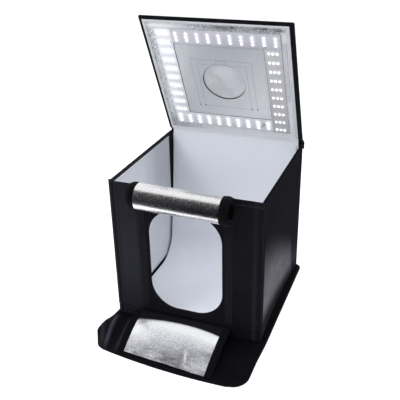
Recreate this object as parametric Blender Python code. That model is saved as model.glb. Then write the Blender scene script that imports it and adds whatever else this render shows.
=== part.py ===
"""Folding light tent cube: padded walls, a lit lid, a windowed front and two window curtains."""
import math

import bmesh
import bpy
from mathutils import Vector

# Lengths are in metres. X runs to the right, Y to the rear wall and Z up from the floor.
GAP = 0.0003
SKIN = 0.0012
LINING = 0.0010
EDGE_SOFTNESS = 0.0012
CORNER_RADIUS = 0.003

# The cube and its walls.
TENT_WIDTH = 0.400
TENT_DEPTH = 0.395
WALL_HEIGHT = 0.394
WALL_BOARD = 0.0036
WALL_RIM = 0.006
STRIP_FROM_REAR = 0.034
FOOT_BOW = 0.008

# The mat under the cube and the flap in front of it.
MAT_THICKNESS = 0.003
MAT_SIDE_RIM = 0.014
MAT_REAR_RIM = 0.0105
FLAP_LENGTH = 0.1772
MAT_FRONT_RADIUS = 0.045
MAT_REAR_RADIUS = 0.012
FLAP_BOW = 0.0147
FLAP_CREST = 0.105
FLAP_LIFT = 0.011
LIFT_FROM_HOOK = 0.0109
LIFT_REACH_ALONG = 0.085
LIFT_FROM_WALL = 0.0955
BAND_THICKNESS = 0.0006
BAND_WIDTH = 0.0195
BAND_RADIUS = 0.008

# The floor and the backdrop inside.
FLOOR_SIDE_MARGIN = 0.016
FLOOR_END_MARGIN = 0.0095
FLOOR_BOARD = 0.003
BACKDROP_THICKNESS = 0.0009
BACKDROP_LEFT_MARGIN = 0.013
BACKDROP_RIGHT_MARGIN = 0.0165
BACKDROP_FRONT_MARGIN = 0.0175
BACKDROP_BEND = 0.082
BACKDROP_BEND_MARGIN = 0.1335
BACKDROP_TOP_MARGIN = 0.0105
BACKDROP_BELOW_TOP = 0.0022
BACKDROP_BELLY = 0.003

# The front wall with its window.
FRONT_FOOT_HEIGHT = 0.0274
WINDOW_HALF_WIDTH = 0.097
WINDOW_ABOVE_FOLD = 0.023
WINDOW_HEIGHT = 0.285
WINDOW_RADIUS = 0.072
LOOP_FROM_WINDOW = 0.018
LOOP_WIDTH = 0.020
TAPE_THICKNESS = 0.0008
LOOP_ABOVE_FOLD = 0.013
LOOP_BELOW_TOP = 0.0202

# The rolled upper curtain and the one folded down in front.
ROLL_RADIUS = 0.0325
ROLL_TIGHTENING = 0.0042
ROLL_BELOW_TOP = 0.0142
ROLL_OVERLAP_LEFT = 0.002
ROLL_OVERLAP_RIGHT = 0.016
CURTAIN_THICKNESS = 0.0014
HOOK_THICKNESS = 0.0020
HOOK_WIDTH = 0.0200
HEADER_HEIGHT = 0.013
HEADER_BELOW_TOP = 0.0012
ROLL_SEAM_BELOW_TOP = 0.0002
ROLL_SEAM = 0.009
LOWER_OVERLAP = 0.0108
LOWER_LENGTH = 0.155
LOWER_SKEW = 0.019
LOWER_SEAM_DROP = 0.0017
LOWER_SETTLE = 0.045

# The lid with its lamp boards and its hatch.
LID_RIM = 0.013
LID_BOARD = 0.0036
LID_SEAT = 0.0005
HINGE_STRIP = 0.0012
HINGE_RIDGE = 0.00075
LAMP_SIDE_MARGIN = 0.036
LAMP_END_MARGIN = 0.0335
LAMP_STRIP = 0.044
LAMP_BOARD = 0.0014
CHIP_SIZE = 0.0050
CHIP_HEIGHT = 0.0014
CHIP_FROM_END = 0.0123
CHIP_SPREAD = 0.0106
SCREW_RADIUS = 0.0022
SCREW_HEIGHT = 0.0009
SCREW_FROM_EDGE = 0.0045
LEAD_FROM_BOARD = 0.0025
LEAD_WIDTH = 0.010
LEAD_LENGTH = 0.188
LEAD_BELOW_MIDDLE = 0.0475
PORT_RADIUS = 0.059
HATCH_OVERLAP = 0.0235
HATCH_BEHIND_MIDDLE = 0.089
HATCH_LENGTH = 0.165
HATCH_BOARD = 0.0020
HATCH_RIM = 0.006
HATCH_TAPE = 0.0155
HATCH_TAPE_START = 0.002
HATCH_TAPE_LENGTH = 0.160
INLET_FROM_SIDE = 0.050
INLET_ALONG = 0.024
INLET_RADIUS = 0.0070
INLET_BARREL = 0.0052
INLET_BORE = 0.0030
INLET_FLANGE = 0.0014
INLET_HEIGHT = 0.0046
INLET_PIN = 0.0010

# Angles in degrees and plain counts.
LID_OPEN = 64.2
ROLL_START = 50.0
ROLL_TURN = 379.0
CHIP_ROWS = 10
CHIPS_IN_ROW = 3
CORNER_STEPS = 5
RAY_COUNT = 72
ROLL_STEPS = 50
ROLL_TAIL_STEPS = 6
LOWER_STEPS = 16
SEARCH_STEPS = 48

# Places that follow from the sizes above.
WALL_DEPTH = SKIN + GAP + WALL_BOARD + GAP + LINING
FOOT_Z = MAT_THICKNESS + GAP + BAND_THICKNESS + GAP
WALL_TOP = FOOT_Z + WALL_HEIGHT
FRONT_Y = -TENT_DEPTH / 2
REAR_Y = TENT_DEPTH / 2
FRONT_FOLD_Z = MAT_THICKNESS + GAP + FRONT_FOOT_HEIGHT + GAP
LID_DEPTH = SKIN + GAP + LID_BOARD + GAP + LINING
LID_AXIS_Z = WALL_TOP + LID_SEAT + LID_DEPTH
HATCH_LIFT = GAP + TAPE_THICKNESS + GAP + TAPE_THICKNESS + GAP
HATCH_DEPTH = LINING + GAP + HATCH_BOARD + GAP + SKIN
FLOOR_TOP = MAT_THICKNESS + GAP + FLOOR_BOARD + GAP + LINING
HALF_WIDTH = TENT_WIDTH / 2
MAT_HALF_WIDTH = HALF_WIDTH + MAT_SIDE_RIM
MAT_REAR = REAR_Y + MAT_REAR_RIM
MAT_FRONT = REAR_Y + FLAP_LENGTH
LIFT_CENTRE = REAR_Y + LIFT_FROM_WALL
LOWER_SEAM_Z = FRONT_FOLD_Z - GAP - LOWER_SEAM_DROP
ROLL_SEAM_Z = WALL_TOP - ROLL_SEAM_BELOW_TOP
LID_LENGTH = TENT_DEPTH
LID_MIDDLE = LID_LENGTH / 2
LOOP_CENTRE = WINDOW_HALF_WIDTH + LOOP_FROM_WINDOW
ROLL_LEFT = -WINDOW_HALF_WIDTH - ROLL_OVERLAP_LEFT
ROLL_RIGHT = WINDOW_HALF_WIDTH + ROLL_OVERLAP_RIGHT
LOWER_HALF_WIDTH = WINDOW_HALF_WIDTH + LOWER_OVERLAP
LIFT_REACH_ACROSS = MAT_HALF_WIDTH - LOWER_HALF_WIDTH - GAP - HOOK_WIDTH - LIFT_FROM_HOOK
LAMP_OUTER = HALF_WIDTH - LAMP_SIDE_MARGIN
LAMP_INNER = LAMP_OUTER - LAMP_STRIP
LAMP_REACH = LID_MIDDLE - LAMP_END_MARGIN
LAMP_INNER_REACH = LAMP_REACH - LAMP_STRIP
HATCH_HALF_WIDTH = PORT_RADIUS + HATCH_OVERLAP

LOOKS = {
    "black_cloth": ((0.016, 0.018, 0.023), 0.62, 0.0),
    "black_mat": ((0.014, 0.015, 0.019), 0.70, 0.0),
    "black_tape": ((0.010, 0.010, 0.012), 0.85, 0.0),
    "board": ((0.45, 0.45, 0.45), 0.80, 0.0),
    "white_lining": ((0.76, 0.80, 0.86), 0.55, 0.0),
    "white_sheet": ((0.80, 0.83, 0.88), 0.45, 0.0),
    "silver_film": ((0.70, 0.71, 0.73), 0.34, 0.85),
    "silver_lining": ((0.50, 0.52, 0.56), 0.42, 0.70),
    "lamp_board": ((0.62, 0.64, 0.66), 0.45, 0.0),
    "lamp_chip": ((0.93, 0.92, 0.84), 0.30, 0.0),
    "steel": ((0.55, 0.55, 0.56), 0.30, 1.0),
    "pale_tape": ((0.68, 0.69, 0.66), 0.60, 0.0),
    "black_plastic": ((0.020, 0.020, 0.022), 0.40, 0.0),
}


def clear_scene():
    """Remove whatever the scene holds."""
    for item in list(bpy.data.objects):
        bpy.data.objects.remove(item, do_unlink=True)


def material(name, look):
    """Make one piece's own material from a named look."""
    colour, roughness, metallic = LOOKS[look]
    made = bpy.data.materials.new(name)
    made.use_nodes = True
    shader = made.node_tree.nodes["Principled BSDF"]
    shader.inputs["Base Color"].default_value = (*colour, 1.0)
    shader.inputs["Roughness"].default_value = roughness
    shader.inputs["Metallic"].default_value = metallic
    made.diffuse_color = (*colour, 1.0)
    return made


def fold_frame(name, location, parent=None, turn=0.0):
    """Place an empty on a fold line, turned about X by an angle in degrees."""
    frame = bpy.data.objects.new(name, None)
    bpy.context.scene.collection.objects.link(frame)
    frame.location = location
    frame.rotation_euler = (math.radians(turn), 0.0, 0.0)
    frame.parent = parent
    return frame


def add_piece(name, mesh, look, frame):
    """Turn a finished mesh into one named piece that hangs on its fold frame."""
    bmesh.ops.recalc_face_normals(mesh, faces=mesh.faces[:])
    data = bpy.data.meshes.new(name)
    mesh.to_mesh(data)
    mesh.free()
    data.shade_smooth()
    data.set_sharp_from_angle(angle=math.radians(35.0))
    data.materials.append(material(name, look))
    piece = bpy.data.objects.new(name, data)
    bpy.context.scene.collection.objects.link(piece)
    piece.parent = frame
    return piece


class Panel:
    """A fold frame with the directions that run across, along and into one panel."""

    def __init__(self, frame, across, along, inward):
        self.frame = frame
        self.across = Vector(across)
        self.along = Vector(along)
        self.inward = Vector(inward)

    def point(self, across, along, inward):
        """Give a point of the panel in its frame."""
        return self.across * across + self.along * along + self.inward * inward

    def level(self, outline, inward):
        """Lift a flat outline to one level of the panel."""
        return [self.point(across, along, inward) for across, along in outline]


def shrink(bounds, inset):
    """Pull all four sides of a rectangle inward."""
    low_u, high_u, low_v, high_v = bounds
    return low_u + inset, high_u - inset, low_v + inset, high_v - inset


def corner_outline(bounds, radius, far_radius=None):
    """Give the points around a rectangle with round corners, the far radius at its high end."""
    low_u, high_u, low_v, high_v = bounds
    far = radius if far_radius is None else far_radius
    centres = (
        (high_u - far, high_v - far, far),
        (low_u + far, high_v - far, far),
        (low_u + radius, low_v + radius, radius),
        (high_u - radius, low_v + radius, radius),
    )
    points = []
    for quarter, (centre_u, centre_v, reach) in enumerate(centres):
        for step in range(CORNER_STEPS + 1):
            angle = (quarter + step / CORNER_STEPS) * math.pi / 2
            points.append((centre_u + reach * math.cos(angle), centre_v + reach * math.sin(angle)))
    return points


def distance_to_outline(point_u, point_v, bounds, radius):
    """Signed distance from a point to a rectangle with round corners, negative inside."""
    low_u, high_u, low_v, high_v = bounds
    over_u = abs(point_u - (low_u + high_u) / 2) - (high_u - low_u) / 2 + radius
    over_v = abs(point_v - (low_v + high_v) / 2) - (high_v - low_v) / 2 + radius
    return math.hypot(max(over_u, 0.0), max(over_v, 0.0)) + min(max(over_u, over_v), 0.0) - radius


def ray_outline(centre, angles, bounds, radius):
    """Give the points where rays from a centre meet a rectangle with round corners."""
    span = (bounds[1] - bounds[0]) + (bounds[3] - bounds[2])
    points = []
    for angle in angles:
        near, far = 0.0, span
        for _ in range(SEARCH_STEPS):
            middle = (near + far) / 2
            reach_u = centre[0] + middle * math.cos(angle)
            reach_v = centre[1] + middle * math.sin(angle)
            if distance_to_outline(reach_u, reach_v, bounds, radius) < 0.0:
                near = middle
            else:
                far = middle
        points.append((centre[0] + near * math.cos(angle), centre[1] + near * math.sin(angle)))
    return points


def ray_angles(centre, rectangles):
    """Even ray angles, and the ones that meet the corners of the given rectangles."""
    angles = {round(2 * math.pi * step / RAY_COUNT, 6) for step in range(RAY_COUNT)}
    for low_u, high_u, low_v, high_v in rectangles:
        for corner_u in (low_u, high_u):
            for corner_v in (low_v, high_v):
                angle = math.atan2(corner_v - centre[1], corner_u - centre[0]) % (2 * math.pi)
                angles = {kept for kept in angles if abs(kept - angle) > math.pi / RAY_COUNT / 2}
                angles.add(round(angle, 6))
    return sorted(angles)


def loft(name, loops, look, frame, ring=False, shape=None):
    """Join matching loops into one closed solid, capped at both ends unless it is a ring."""
    mesh = bmesh.new()
    rows = [[mesh.verts.new(point) for point in loop] for loop in loops]
    pairs = list(zip(rows, rows[1:]))
    if ring:
        pairs.append((rows[-1], rows[0]))
    else:
        mesh.faces.new(rows[0])
        mesh.faces.new(rows[-1])
    for near, far in pairs:
        for index, corner in enumerate(near):
            after = (index + 1) % len(near)
            mesh.faces.new((corner, near[after], far[after], far[index]))
    if shape:
        shape(mesh)
    return add_piece(name, mesh, look, frame)


def slab(name, look, panel, bounds, low, high, radius=CORNER_RADIUS, shape=None):
    """A flat piece of a panel between two levels."""
    outline = corner_outline(bounds, radius)
    loops = [panel.level(outline, low), panel.level(outline, high)]
    return loft(name, loops, look, panel.frame, shape=shape)


def holed_slab(name, look, panel, bounds, low, high, hole, hole_radius):
    """A flat piece of a panel with one opening through it."""
    centre = ((hole[0] + hole[1]) / 2, (hole[2] + hole[3]) / 2)
    angles = ray_angles(centre, [bounds])
    outer = ray_outline(centre, angles, bounds, 0.0)
    inner = ray_outline(centre, angles, hole, hole_radius)
    loops = [panel.level(outer, low), panel.level(outer, high)]
    loops += [panel.level(inner, high), panel.level(inner, low)]
    return loft(name, loops, look, panel.frame, ring=True)


def tray(name, look, panel, bounds, depth, rim, shape=None):
    """A cloth cover: a skin on the outer side and a sewn rim around the board."""
    soft = shrink(bounds, EDGE_SOFTNESS)
    recess = shrink(bounds, rim)
    full_outline = corner_outline(bounds, CORNER_RADIUS)
    soft_outline = corner_outline(soft, CORNER_RADIUS - EDGE_SOFTNESS)
    recess_outline = corner_outline(recess, CORNER_RADIUS)
    loops = [
        panel.level(soft_outline, 0.0),
        panel.level(full_outline, EDGE_SOFTNESS),
        panel.level(full_outline, depth - EDGE_SOFTNESS),
        panel.level(soft_outline, depth),
        panel.level(recess_outline, depth),
        panel.level(recess_outline, SKIN),
    ]
    return loft(name, loops, look, panel.frame, shape=shape)


def holed_tray(name, look, panel, bounds, depth, rim, hole, hole_radius, hole_rim=0.0):
    """A cloth cover whose skin has an opening, with its own sewn rim if it has a width."""
    centre = ((hole[0] + hole[1]) / 2, (hole[2] + hole[3]) / 2)
    soft = shrink(bounds, EDGE_SOFTNESS)
    recess = shrink(bounds, rim)
    angles = ray_angles(centre, [bounds, recess])
    full_outline = ray_outline(centre, angles, bounds, 0.0)
    soft_outline = ray_outline(centre, angles, soft, 0.0)
    recess_outline = ray_outline(centre, angles, recess, 0.0)
    hole_outline = ray_outline(centre, angles, hole, hole_radius)
    loops = [
        panel.level(soft_outline, 0.0),
        panel.level(full_outline, EDGE_SOFTNESS),
        panel.level(full_outline, depth - EDGE_SOFTNESS),
        panel.level(soft_outline, depth),
        panel.level(recess_outline, depth),
        panel.level(recess_outline, SKIN),
    ]
    if hole_rim:
        lip_outline = ray_outline(centre, angles, shrink(hole, -hole_rim), hole_radius + hole_rim)
        loops += [panel.level(lip_outline, SKIN), panel.level(lip_outline, depth)]
        loops += [panel.level(hole_outline, depth)]
    else:
        loops += [panel.level(hole_outline, SKIN)]
    loops += [panel.level(hole_outline, 0.0)]
    return loft(name, loops, look, panel.frame, ring=True)


def side_offsets(centres, thickness):
    """Give the two faces of a thin sheet that follows a line of (y, z) centres."""
    outer, inner = [], []
    for index, (centre_y, centre_z) in enumerate(centres):
        before = centres[max(index - 1, 0)]
        after = centres[min(index + 1, len(centres) - 1)]
        run_y, run_z = after[0] - before[0], after[1] - before[1]
        length = math.hypot(run_y, run_z)
        shift_y, shift_z = -run_z / length * thickness / 2, run_y / length * thickness / 2
        outer.append((centre_y + shift_y, centre_z + shift_z))
        inner.append((centre_y - shift_y, centre_z - shift_z))
    return outer, inner


def sheet(name, look, frame, centres, thickness, left, right, shape=None):
    """A thin sheet that follows a line of (y, z) centres between two X limits."""
    outer, inner = side_offsets(centres, thickness)
    loops = []
    for (outer_y, outer_z), (inner_y, inner_z) in zip(outer, inner):
        loops.append([
            Vector((left, outer_y, outer_z)),
            Vector((right, outer_y, outer_z)),
            Vector((right, inner_y, inner_z)),
            Vector((left, inner_y, inner_z)),
        ])
    return loft(name, loops, look, frame, shape=shape)


def cut_across(mesh, point, normal):
    """Slice every face of a mesh along one plane."""
    parts = mesh.verts[:] + mesh.edges[:] + mesh.faces[:]
    bmesh.ops.bisect_plane(mesh, geom=parts, dist=GAP / 100, plane_co=point, plane_no=normal)


def disc_loops(panel, across, along, profile, steps=24):
    """Loops of a round piece that stands on a panel, from (radius, inward) pairs."""
    loops = []
    for radius, inward in profile:
        loop = []
        for step in range(steps):
            angle = 2 * math.pi * step / steps
            reach_u = across + radius * math.cos(angle)
            reach_v = along + radius * math.sin(angle)
            loop.append(panel.point(reach_u, reach_v, inward))
        loops.append(loop)
    return loops


def block_cutter(name, panel, centres, half, low, high):
    """A hidden guide of equal small blocks that a piece takes on by a union."""
    mesh = bmesh.new()
    for across, along in centres:
        corners = []
        for inward in (low, high):
            for side_u, side_v in ((-1, -1), (1, -1), (1, 1), (-1, 1)):
                reach = panel.point(across + side_u * half, along + side_v * half, inward)
                corners.append(mesh.verts.new(reach))
        for face in ((0, 1, 2, 3), (7, 6, 5, 4), (0, 4, 5, 1), (1, 5, 6, 2), (2, 6, 7, 3), (3, 7, 4, 0)):
            mesh.faces.new([corners[index] for index in face])
    guide = add_piece(name, mesh, "lamp_chip", panel.frame)
    guide.hide_render = True
    guide.display_type = "WIRE"
    return guide


# The mat, the floor and what is sewn to them.

def lift_share(across, along):
    """How far the slack corner of the front flap stands off the floor, from 0 to 1."""
    near_side = max(0.0, 1.0 - abs(across + MAT_HALF_WIDTH) / LIFT_REACH_ACROSS)
    near_crease = max(0.0, 1.0 - abs(along + LIFT_CENTRE) / LIFT_REACH_ALONG)
    soft_side = near_side * near_side * (3 - 2 * near_side)
    soft_crease = near_crease * near_crease * (3 - 2 * near_crease)
    return soft_side * soft_crease


def shape_mat(mesh):
    """Bow the front edge of the flap and lift its slack left corner."""
    for step in range(1, 4):
        across = -MAT_HALF_WIDTH + LIFT_REACH_ACROSS * step / 3
        cut_across(mesh, (across, 0.0, 0.0), (1.0, 0.0, 0.0))
    for step in range(1, 7):
        across = MAT_HALF_WIDTH - (2 * MAT_HALF_WIDTH - LIFT_REACH_ACROSS) * step / 7
        cut_across(mesh, (across, 0.0, 0.0), (1.0, 0.0, 0.0))
    for step in range(-4, 5):
        along = -LIFT_CENTRE + LIFT_REACH_ALONG * step / 4
        cut_across(mesh, (0.0, along, 0.0), (0.0, 1.0, 0.0))
    for corner in mesh.verts:
        across, along = corner.co.x, corner.co.y
        flap = max(0.0, FRONT_Y - along) / (MAT_FRONT + FRONT_Y)
        corner.co.z += FLAP_LIFT * lift_share(across, along)
        corner.co.y += FLAP_BOW * flap * ((across - FLAP_CREST) / MAT_HALF_WIDTH) ** 2


def base_mat(ground):
    """The cloth mat under the cube, which runs on in front as a closing flap."""
    bounds = (-MAT_HALF_WIDTH, MAT_HALF_WIDTH, -MAT_FRONT, MAT_REAR)
    outline = corner_outline(bounds, MAT_FRONT_RADIUS, MAT_REAR_RADIUS)
    loops = [ground.level(outline, 0.0), ground.level(outline, MAT_THICKNESS)]
    return loft("base_mat", loops, "black_mat", ground.frame, shape=shape_mat)


def foot_bands(ground):
    """The hinge tapes that join the side and rear walls to the mat."""
    low = MAT_THICKNESS + GAP
    high = low + BAND_THICKNESS
    outer = MAT_HALF_WIDTH - GAP
    inner = outer - BAND_WIDTH
    side_front = FRONT_Y + WALL_DEPTH
    side_rear = REAR_Y - WALL_DEPTH
    left = (-outer, -inner, side_front, side_rear)
    right = (inner, outer, side_front, side_rear)
    rear = (-HALF_WIDTH, HALF_WIDTH, side_rear + GAP, MAT_REAR - GAP)
    slab("left_foot_band", "black_tape", ground, left, low, high, BAND_RADIUS)
    slab("right_foot_band", "black_tape", ground, right, low, high, BAND_RADIUS)
    slab("rear_foot_band", "black_tape", ground, rear, low, high, CORNER_RADIUS)


def front_foot_strip(ground):
    """The cloth hinge strip between the mat and the front wall, with the curtain's seam on it."""
    low = MAT_THICKNESS + GAP
    bounds = (-HALF_WIDTH, HALF_WIDTH, FRONT_Y, FRONT_Y + WALL_DEPTH)
    slab("front_foot_strip", "black_cloth", ground, bounds, low, low + FRONT_FOOT_HEIGHT, EDGE_SOFTNESS)


def floor_pieces(ground):
    """The stiff floor board and the white lining on it."""
    half_width = HALF_WIDTH - FLOOR_SIDE_MARGIN
    half_depth = REAR_Y - FLOOR_END_MARGIN
    bounds = (-half_width, half_width, -half_depth, half_depth)
    low = MAT_THICKNESS + GAP
    slab("base_board", "board", ground, bounds, low, low + FLOOR_BOARD)
    slab("floor_lining", "white_lining", ground, bounds, FLOOR_TOP - LINING, FLOOR_TOP)


def backdrop(ground):
    """The white sheet that sweeps from the floor up the rear wall."""
    floor_level = FLOOR_TOP + GAP + BACKDROP_THICKNESS / 2
    bend_centre = REAR_Y - BACKDROP_BEND_MARGIN
    top_y = REAR_Y - BACKDROP_TOP_MARGIN
    top_z = WALL_TOP - BACKDROP_BELOW_TOP
    lean = math.atan2(top_y - bend_centre - BACKDROP_BEND, top_z)
    centres = [(FRONT_Y + BACKDROP_FRONT_MARGIN, floor_level)]
    turn = math.pi / 2 - lean
    steps = 10
    for step in range(steps + 1):
        angle = turn * step / steps
        bend_y = bend_centre + BACKDROP_BEND * math.sin(angle)
        bend_z = floor_level + BACKDROP_BEND * (1 - math.cos(angle))
        centres.append((bend_y, bend_z))
    start_y, start_z = centres[-1]
    for step in range(1, 7):
        share = step / 6
        belly = BACKDROP_BELLY * math.sin(math.pi * share)
        rise_y = start_y + (top_y - start_y) * share + belly
        centres.append((rise_y, start_z + (top_z - start_z) * share))
    left = BACKDROP_LEFT_MARGIN - HALF_WIDTH
    right = HALF_WIDTH - BACKDROP_RIGHT_MARGIN
    sheet("backdrop", "white_sheet", ground.frame, centres, BACKDROP_THICKNESS, left, right)


# The side and rear walls.

def wall_bow(panel, bow):
    """Give the shaping step that bows a wall's foot inward at its middle."""
    def shape(mesh):
        steps = 8
        for step in range(1, steps):
            offset = TENT_DEPTH * (step / steps - 0.5)
            cut_across(mesh, panel.point(offset, 0.0, 0.0), panel.across)
            rise = WALL_HEIGHT * (step / steps) ** 1.5
            cut_across(mesh, panel.point(0.0, rise, 0.0), panel.along)
        for corner in mesh.verts:
            across = corner.co.dot(panel.across) / (TENT_DEPTH / 2)
            along = corner.co.dot(panel.along) / WALL_HEIGHT
            share = max(0.0, 1.0 - across * across) * max(0.0, 1.0 - along) ** 2
            corner.co += panel.inward * bow * share
    return shape


def side_wall(side, panel, bow):
    """One padded side wall: cover, board, white lining and the black strip near the rear corner."""
    half = TENT_DEPTH / 2 - WALL_DEPTH - GAP
    bounds = (-half, half, 0.0, WALL_HEIGHT)
    inside = shrink(bounds, WALL_RIM + GAP)
    shape = wall_bow(panel, bow)
    board_low = SKIN + GAP
    board_high = board_low + WALL_BOARD
    tray(f"{side}_wall_cover", "black_cloth", panel, bounds, WALL_DEPTH, WALL_RIM, shape)
    slab(f"{side}_wall_board", "board", panel, inside, board_low, board_high, shape=shape)
    lining_low = WALL_DEPTH - LINING
    slab(f"{side}_wall_lining", "white_lining", panel, inside, lining_low, WALL_DEPTH, shape=shape)
    strip_low = WALL_DEPTH + GAP
    strip = (REAR_Y - STRIP_FROM_REAR, REAR_Y - WALL_DEPTH - GAP * 2, WALL_RIM, WALL_HEIGHT - WALL_RIM)
    slab(f"{side}_corner_strip", "black_tape", panel, strip, strip_low, strip_low + TAPE_THICKNESS, shape=shape)


def rear_wall(panel):
    """The padded rear wall with the loop strip that the backdrop hangs on."""
    bounds = (-HALF_WIDTH, HALF_WIDTH, 0.0, WALL_HEIGHT)
    inside = shrink(bounds, WALL_RIM + GAP)
    board_low = SKIN + GAP
    tray("rear_wall_cover", "black_cloth", panel, bounds, WALL_DEPTH, WALL_RIM)
    slab("rear_wall_board", "board", panel, inside, board_low, board_low + WALL_BOARD)
    slab("rear_wall_lining", "white_lining", panel, inside, WALL_DEPTH - LINING, WALL_DEPTH)
    half = HALF_WIDTH - BAND_WIDTH * 2
    strip = (-half, half, WALL_HEIGHT - WALL_RIM - LOOP_WIDTH, WALL_HEIGHT - WALL_RIM)
    low = WALL_DEPTH + GAP
    slab("backdrop_loop_strip", "pale_tape", panel, strip, low, low + TAPE_THICKNESS)


def lid_hinge_strip(panel):
    """The cloth hinge that stands on the rear wall and carries the lid."""
    low = WALL_HEIGHT + GAP
    high = LID_AXIS_Z - FOOT_Z + HINGE_RIDGE
    half = HALF_WIDTH - CORNER_RADIUS
    slab("lid_hinge_strip", "black_cloth", panel, (-half, half, low, high), 0.0, HINGE_STRIP, HINGE_STRIP)


# The front wall and its two curtains.

def front_wall(panel):
    """The padded front wall with its window, loop strips and the upper curtain's header."""
    bounds = (-HALF_WIDTH, HALF_WIDTH, 0.0, WALL_TOP - FRONT_FOLD_Z)
    window_high = WINDOW_ABOVE_FOLD + WINDOW_HEIGHT
    window = (-WINDOW_HALF_WIDTH, WINDOW_HALF_WIDTH, WINDOW_ABOVE_FOLD, window_high)
    inside = shrink(bounds, WALL_RIM + GAP)
    inner_hole = shrink(window, -WALL_RIM - GAP)
    inner_radius = WINDOW_RADIUS + WALL_RIM + GAP
    board_low = SKIN + GAP
    board_high = board_low + WALL_BOARD
    holed_tray(
        "front_wall_cover", "black_cloth", panel, bounds, WALL_DEPTH, WALL_RIM,
        window, WINDOW_RADIUS, WALL_RIM)
    holed_slab("front_wall_board", "board", panel, inside, board_low, board_high, inner_hole, inner_radius)
    holed_slab(
        "front_wall_lining", "white_lining", panel, inside, WALL_DEPTH - LINING, WALL_DEPTH,
        inner_hole, inner_radius)
    outer_low = -GAP - TAPE_THICKNESS
    for side, sign in (("left", -1), ("right", 1)):
        centre = sign * LOOP_CENTRE
        strip_high = bounds[3] - LOOP_BELOW_TOP
        strip = (centre - LOOP_WIDTH / 2, centre + LOOP_WIDTH / 2, LOOP_ABOVE_FOLD, strip_high)
        slab(f"front_loop_{side}", "black_tape", panel, strip, outer_low, -GAP, TAPE_THICKNESS)
    middle = (ROLL_LEFT + ROLL_RIGHT) / 2
    reach = (ROLL_RIGHT - ROLL_LEFT) / 2 + HOOK_WIDTH
    header_high = bounds[3] - HEADER_BELOW_TOP
    header = (middle - reach, middle + reach, header_high - HEADER_HEIGHT, header_high)
    slab("upper_curtain_header", "black_tape", panel, header, -GAP - SKIN, -GAP, TAPE_THICKNESS)


def roll_centres():
    """The line of the rolled curtain in its seam frame, from the header once around and inward."""
    centre_y = -(ROLL_RADIUS + HOOK_THICKNESS + GAP)
    centre_z = ROLL_SEAM_BELOW_TOP - ROLL_BELOW_TOP
    start, turn = math.radians(ROLL_START), math.radians(ROLL_TURN)
    join_y = centre_y + ROLL_RADIUS * math.cos(start)
    join_z = centre_z + ROLL_RADIUS * math.sin(start)
    seam_y = -HOOK_THICKNESS / 2
    reach = (seam_y - join_y) / math.sin(start)
    bend_z = join_z - reach * math.cos(start)
    centres = []
    for step in range(ROLL_TAIL_STEPS):
        share = step / ROLL_TAIL_STEPS
        keep, mix, take = (1 - share) ** 2, 2 * share * (1 - share), share ** 2
        tail_z = -ROLL_SEAM * keep + bend_z * mix + join_z * take
        centres.append((seam_y * (keep + mix) + join_y * take, tail_z))
    for step in range(ROLL_STEPS + 1):
        share = step / ROLL_STEPS
        angle = start + turn * share
        radius = ROLL_RADIUS - ROLL_TIGHTENING * share
        centres.append((centre_y + radius * math.cos(angle), centre_z + radius * math.sin(angle)))
    return centres


def upper_curtain(frame):
    """The upper window curtain, rolled up outside the front wall, with a hook tape at each end."""
    centres = roll_centres()
    sheet("upper_curtain_film", "silver_film", frame, centres, CURTAIN_THICKNESS, ROLL_LEFT, ROLL_RIGHT)
    left_end = ROLL_LEFT - GAP
    right_start = ROLL_RIGHT + GAP
    sheet("upper_hook_left", "black_tape", frame, centres, HOOK_THICKNESS, left_end - HOOK_WIDTH, left_end)
    sheet("upper_hook_right", "black_tape", frame, centres, HOOK_THICKNESS, right_start, right_start + HOOK_WIDTH)


def lower_centres(seam_y):
    """The line of the lower curtain, which springs out from its seam and sinks to the mat."""
    drop = LOWER_SEAM_Z - MAT_THICKNESS - GAP - HOOK_THICKNESS / 2
    third = 2 * drop - LOWER_SETTLE
    second = -drop - third
    start_y = -GAP
    end_y = FRONT_Y - seam_y - LOWER_LENGTH
    centres = []
    for step in range(LOWER_STEPS + 1):
        share = step / LOWER_STEPS
        height = second * share ** 2 + third * share ** 3
        centres.append((start_y + (end_y - start_y) * share, height))
    return centres


def lower_skew(mesh):
    """Let the loose end of the lower curtain lie a little askew."""
    for corner in mesh.verts:
        share = (-corner.co.y / LOWER_LENGTH) ** 2
        corner.co.y -= LOWER_SKEW * share * corner.co.x / (2 * LOWER_HALF_WIDTH)


def lower_curtain(frame, seam_y):
    """The lower window curtain, folded down on the mat, with a hook tape along each side."""
    centres = lower_centres(seam_y)
    edge = LOWER_HALF_WIDTH
    tape = edge + GAP
    sheet("lower_curtain_film", "silver_film", frame, centres, CURTAIN_THICKNESS, -edge, edge, lower_skew)
    sheet("lower_hook_left", "black_tape", frame, centres, HOOK_THICKNESS, -tape - HOOK_WIDTH, -tape, lower_skew)
    sheet("lower_hook_right", "black_tape", frame, centres, HOOK_THICKNESS, tape, tape + HOOK_WIDTH, lower_skew)


# The lid, its lamps and its hatch.

def lid_panel_pieces(panel):
    """The lid's cover, board and silver lining, all with the round camera port."""
    rear = HINGE_STRIP + GAP
    bounds = (-HALF_WIDTH, HALF_WIDTH, rear, LID_LENGTH)
    port = (-PORT_RADIUS, PORT_RADIUS, LID_MIDDLE - PORT_RADIUS, LID_MIDDLE + PORT_RADIUS)
    inside = shrink(bounds, LID_RIM + GAP)
    board_low = SKIN + GAP
    board_high = board_low + LID_BOARD
    wide_port = shrink(port, -SKIN)
    wide_radius = PORT_RADIUS + SKIN
    holed_tray("lid_cover", "black_cloth", panel, bounds, LID_DEPTH, LID_RIM, port, PORT_RADIUS)
    holed_slab("lid_board", "board", panel, inside, board_low, board_high, wide_port, wide_radius)
    holed_slab("lid_lining", "silver_lining", panel, inside, LID_DEPTH - LINING, LID_DEPTH, port, PORT_RADIUS)


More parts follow.
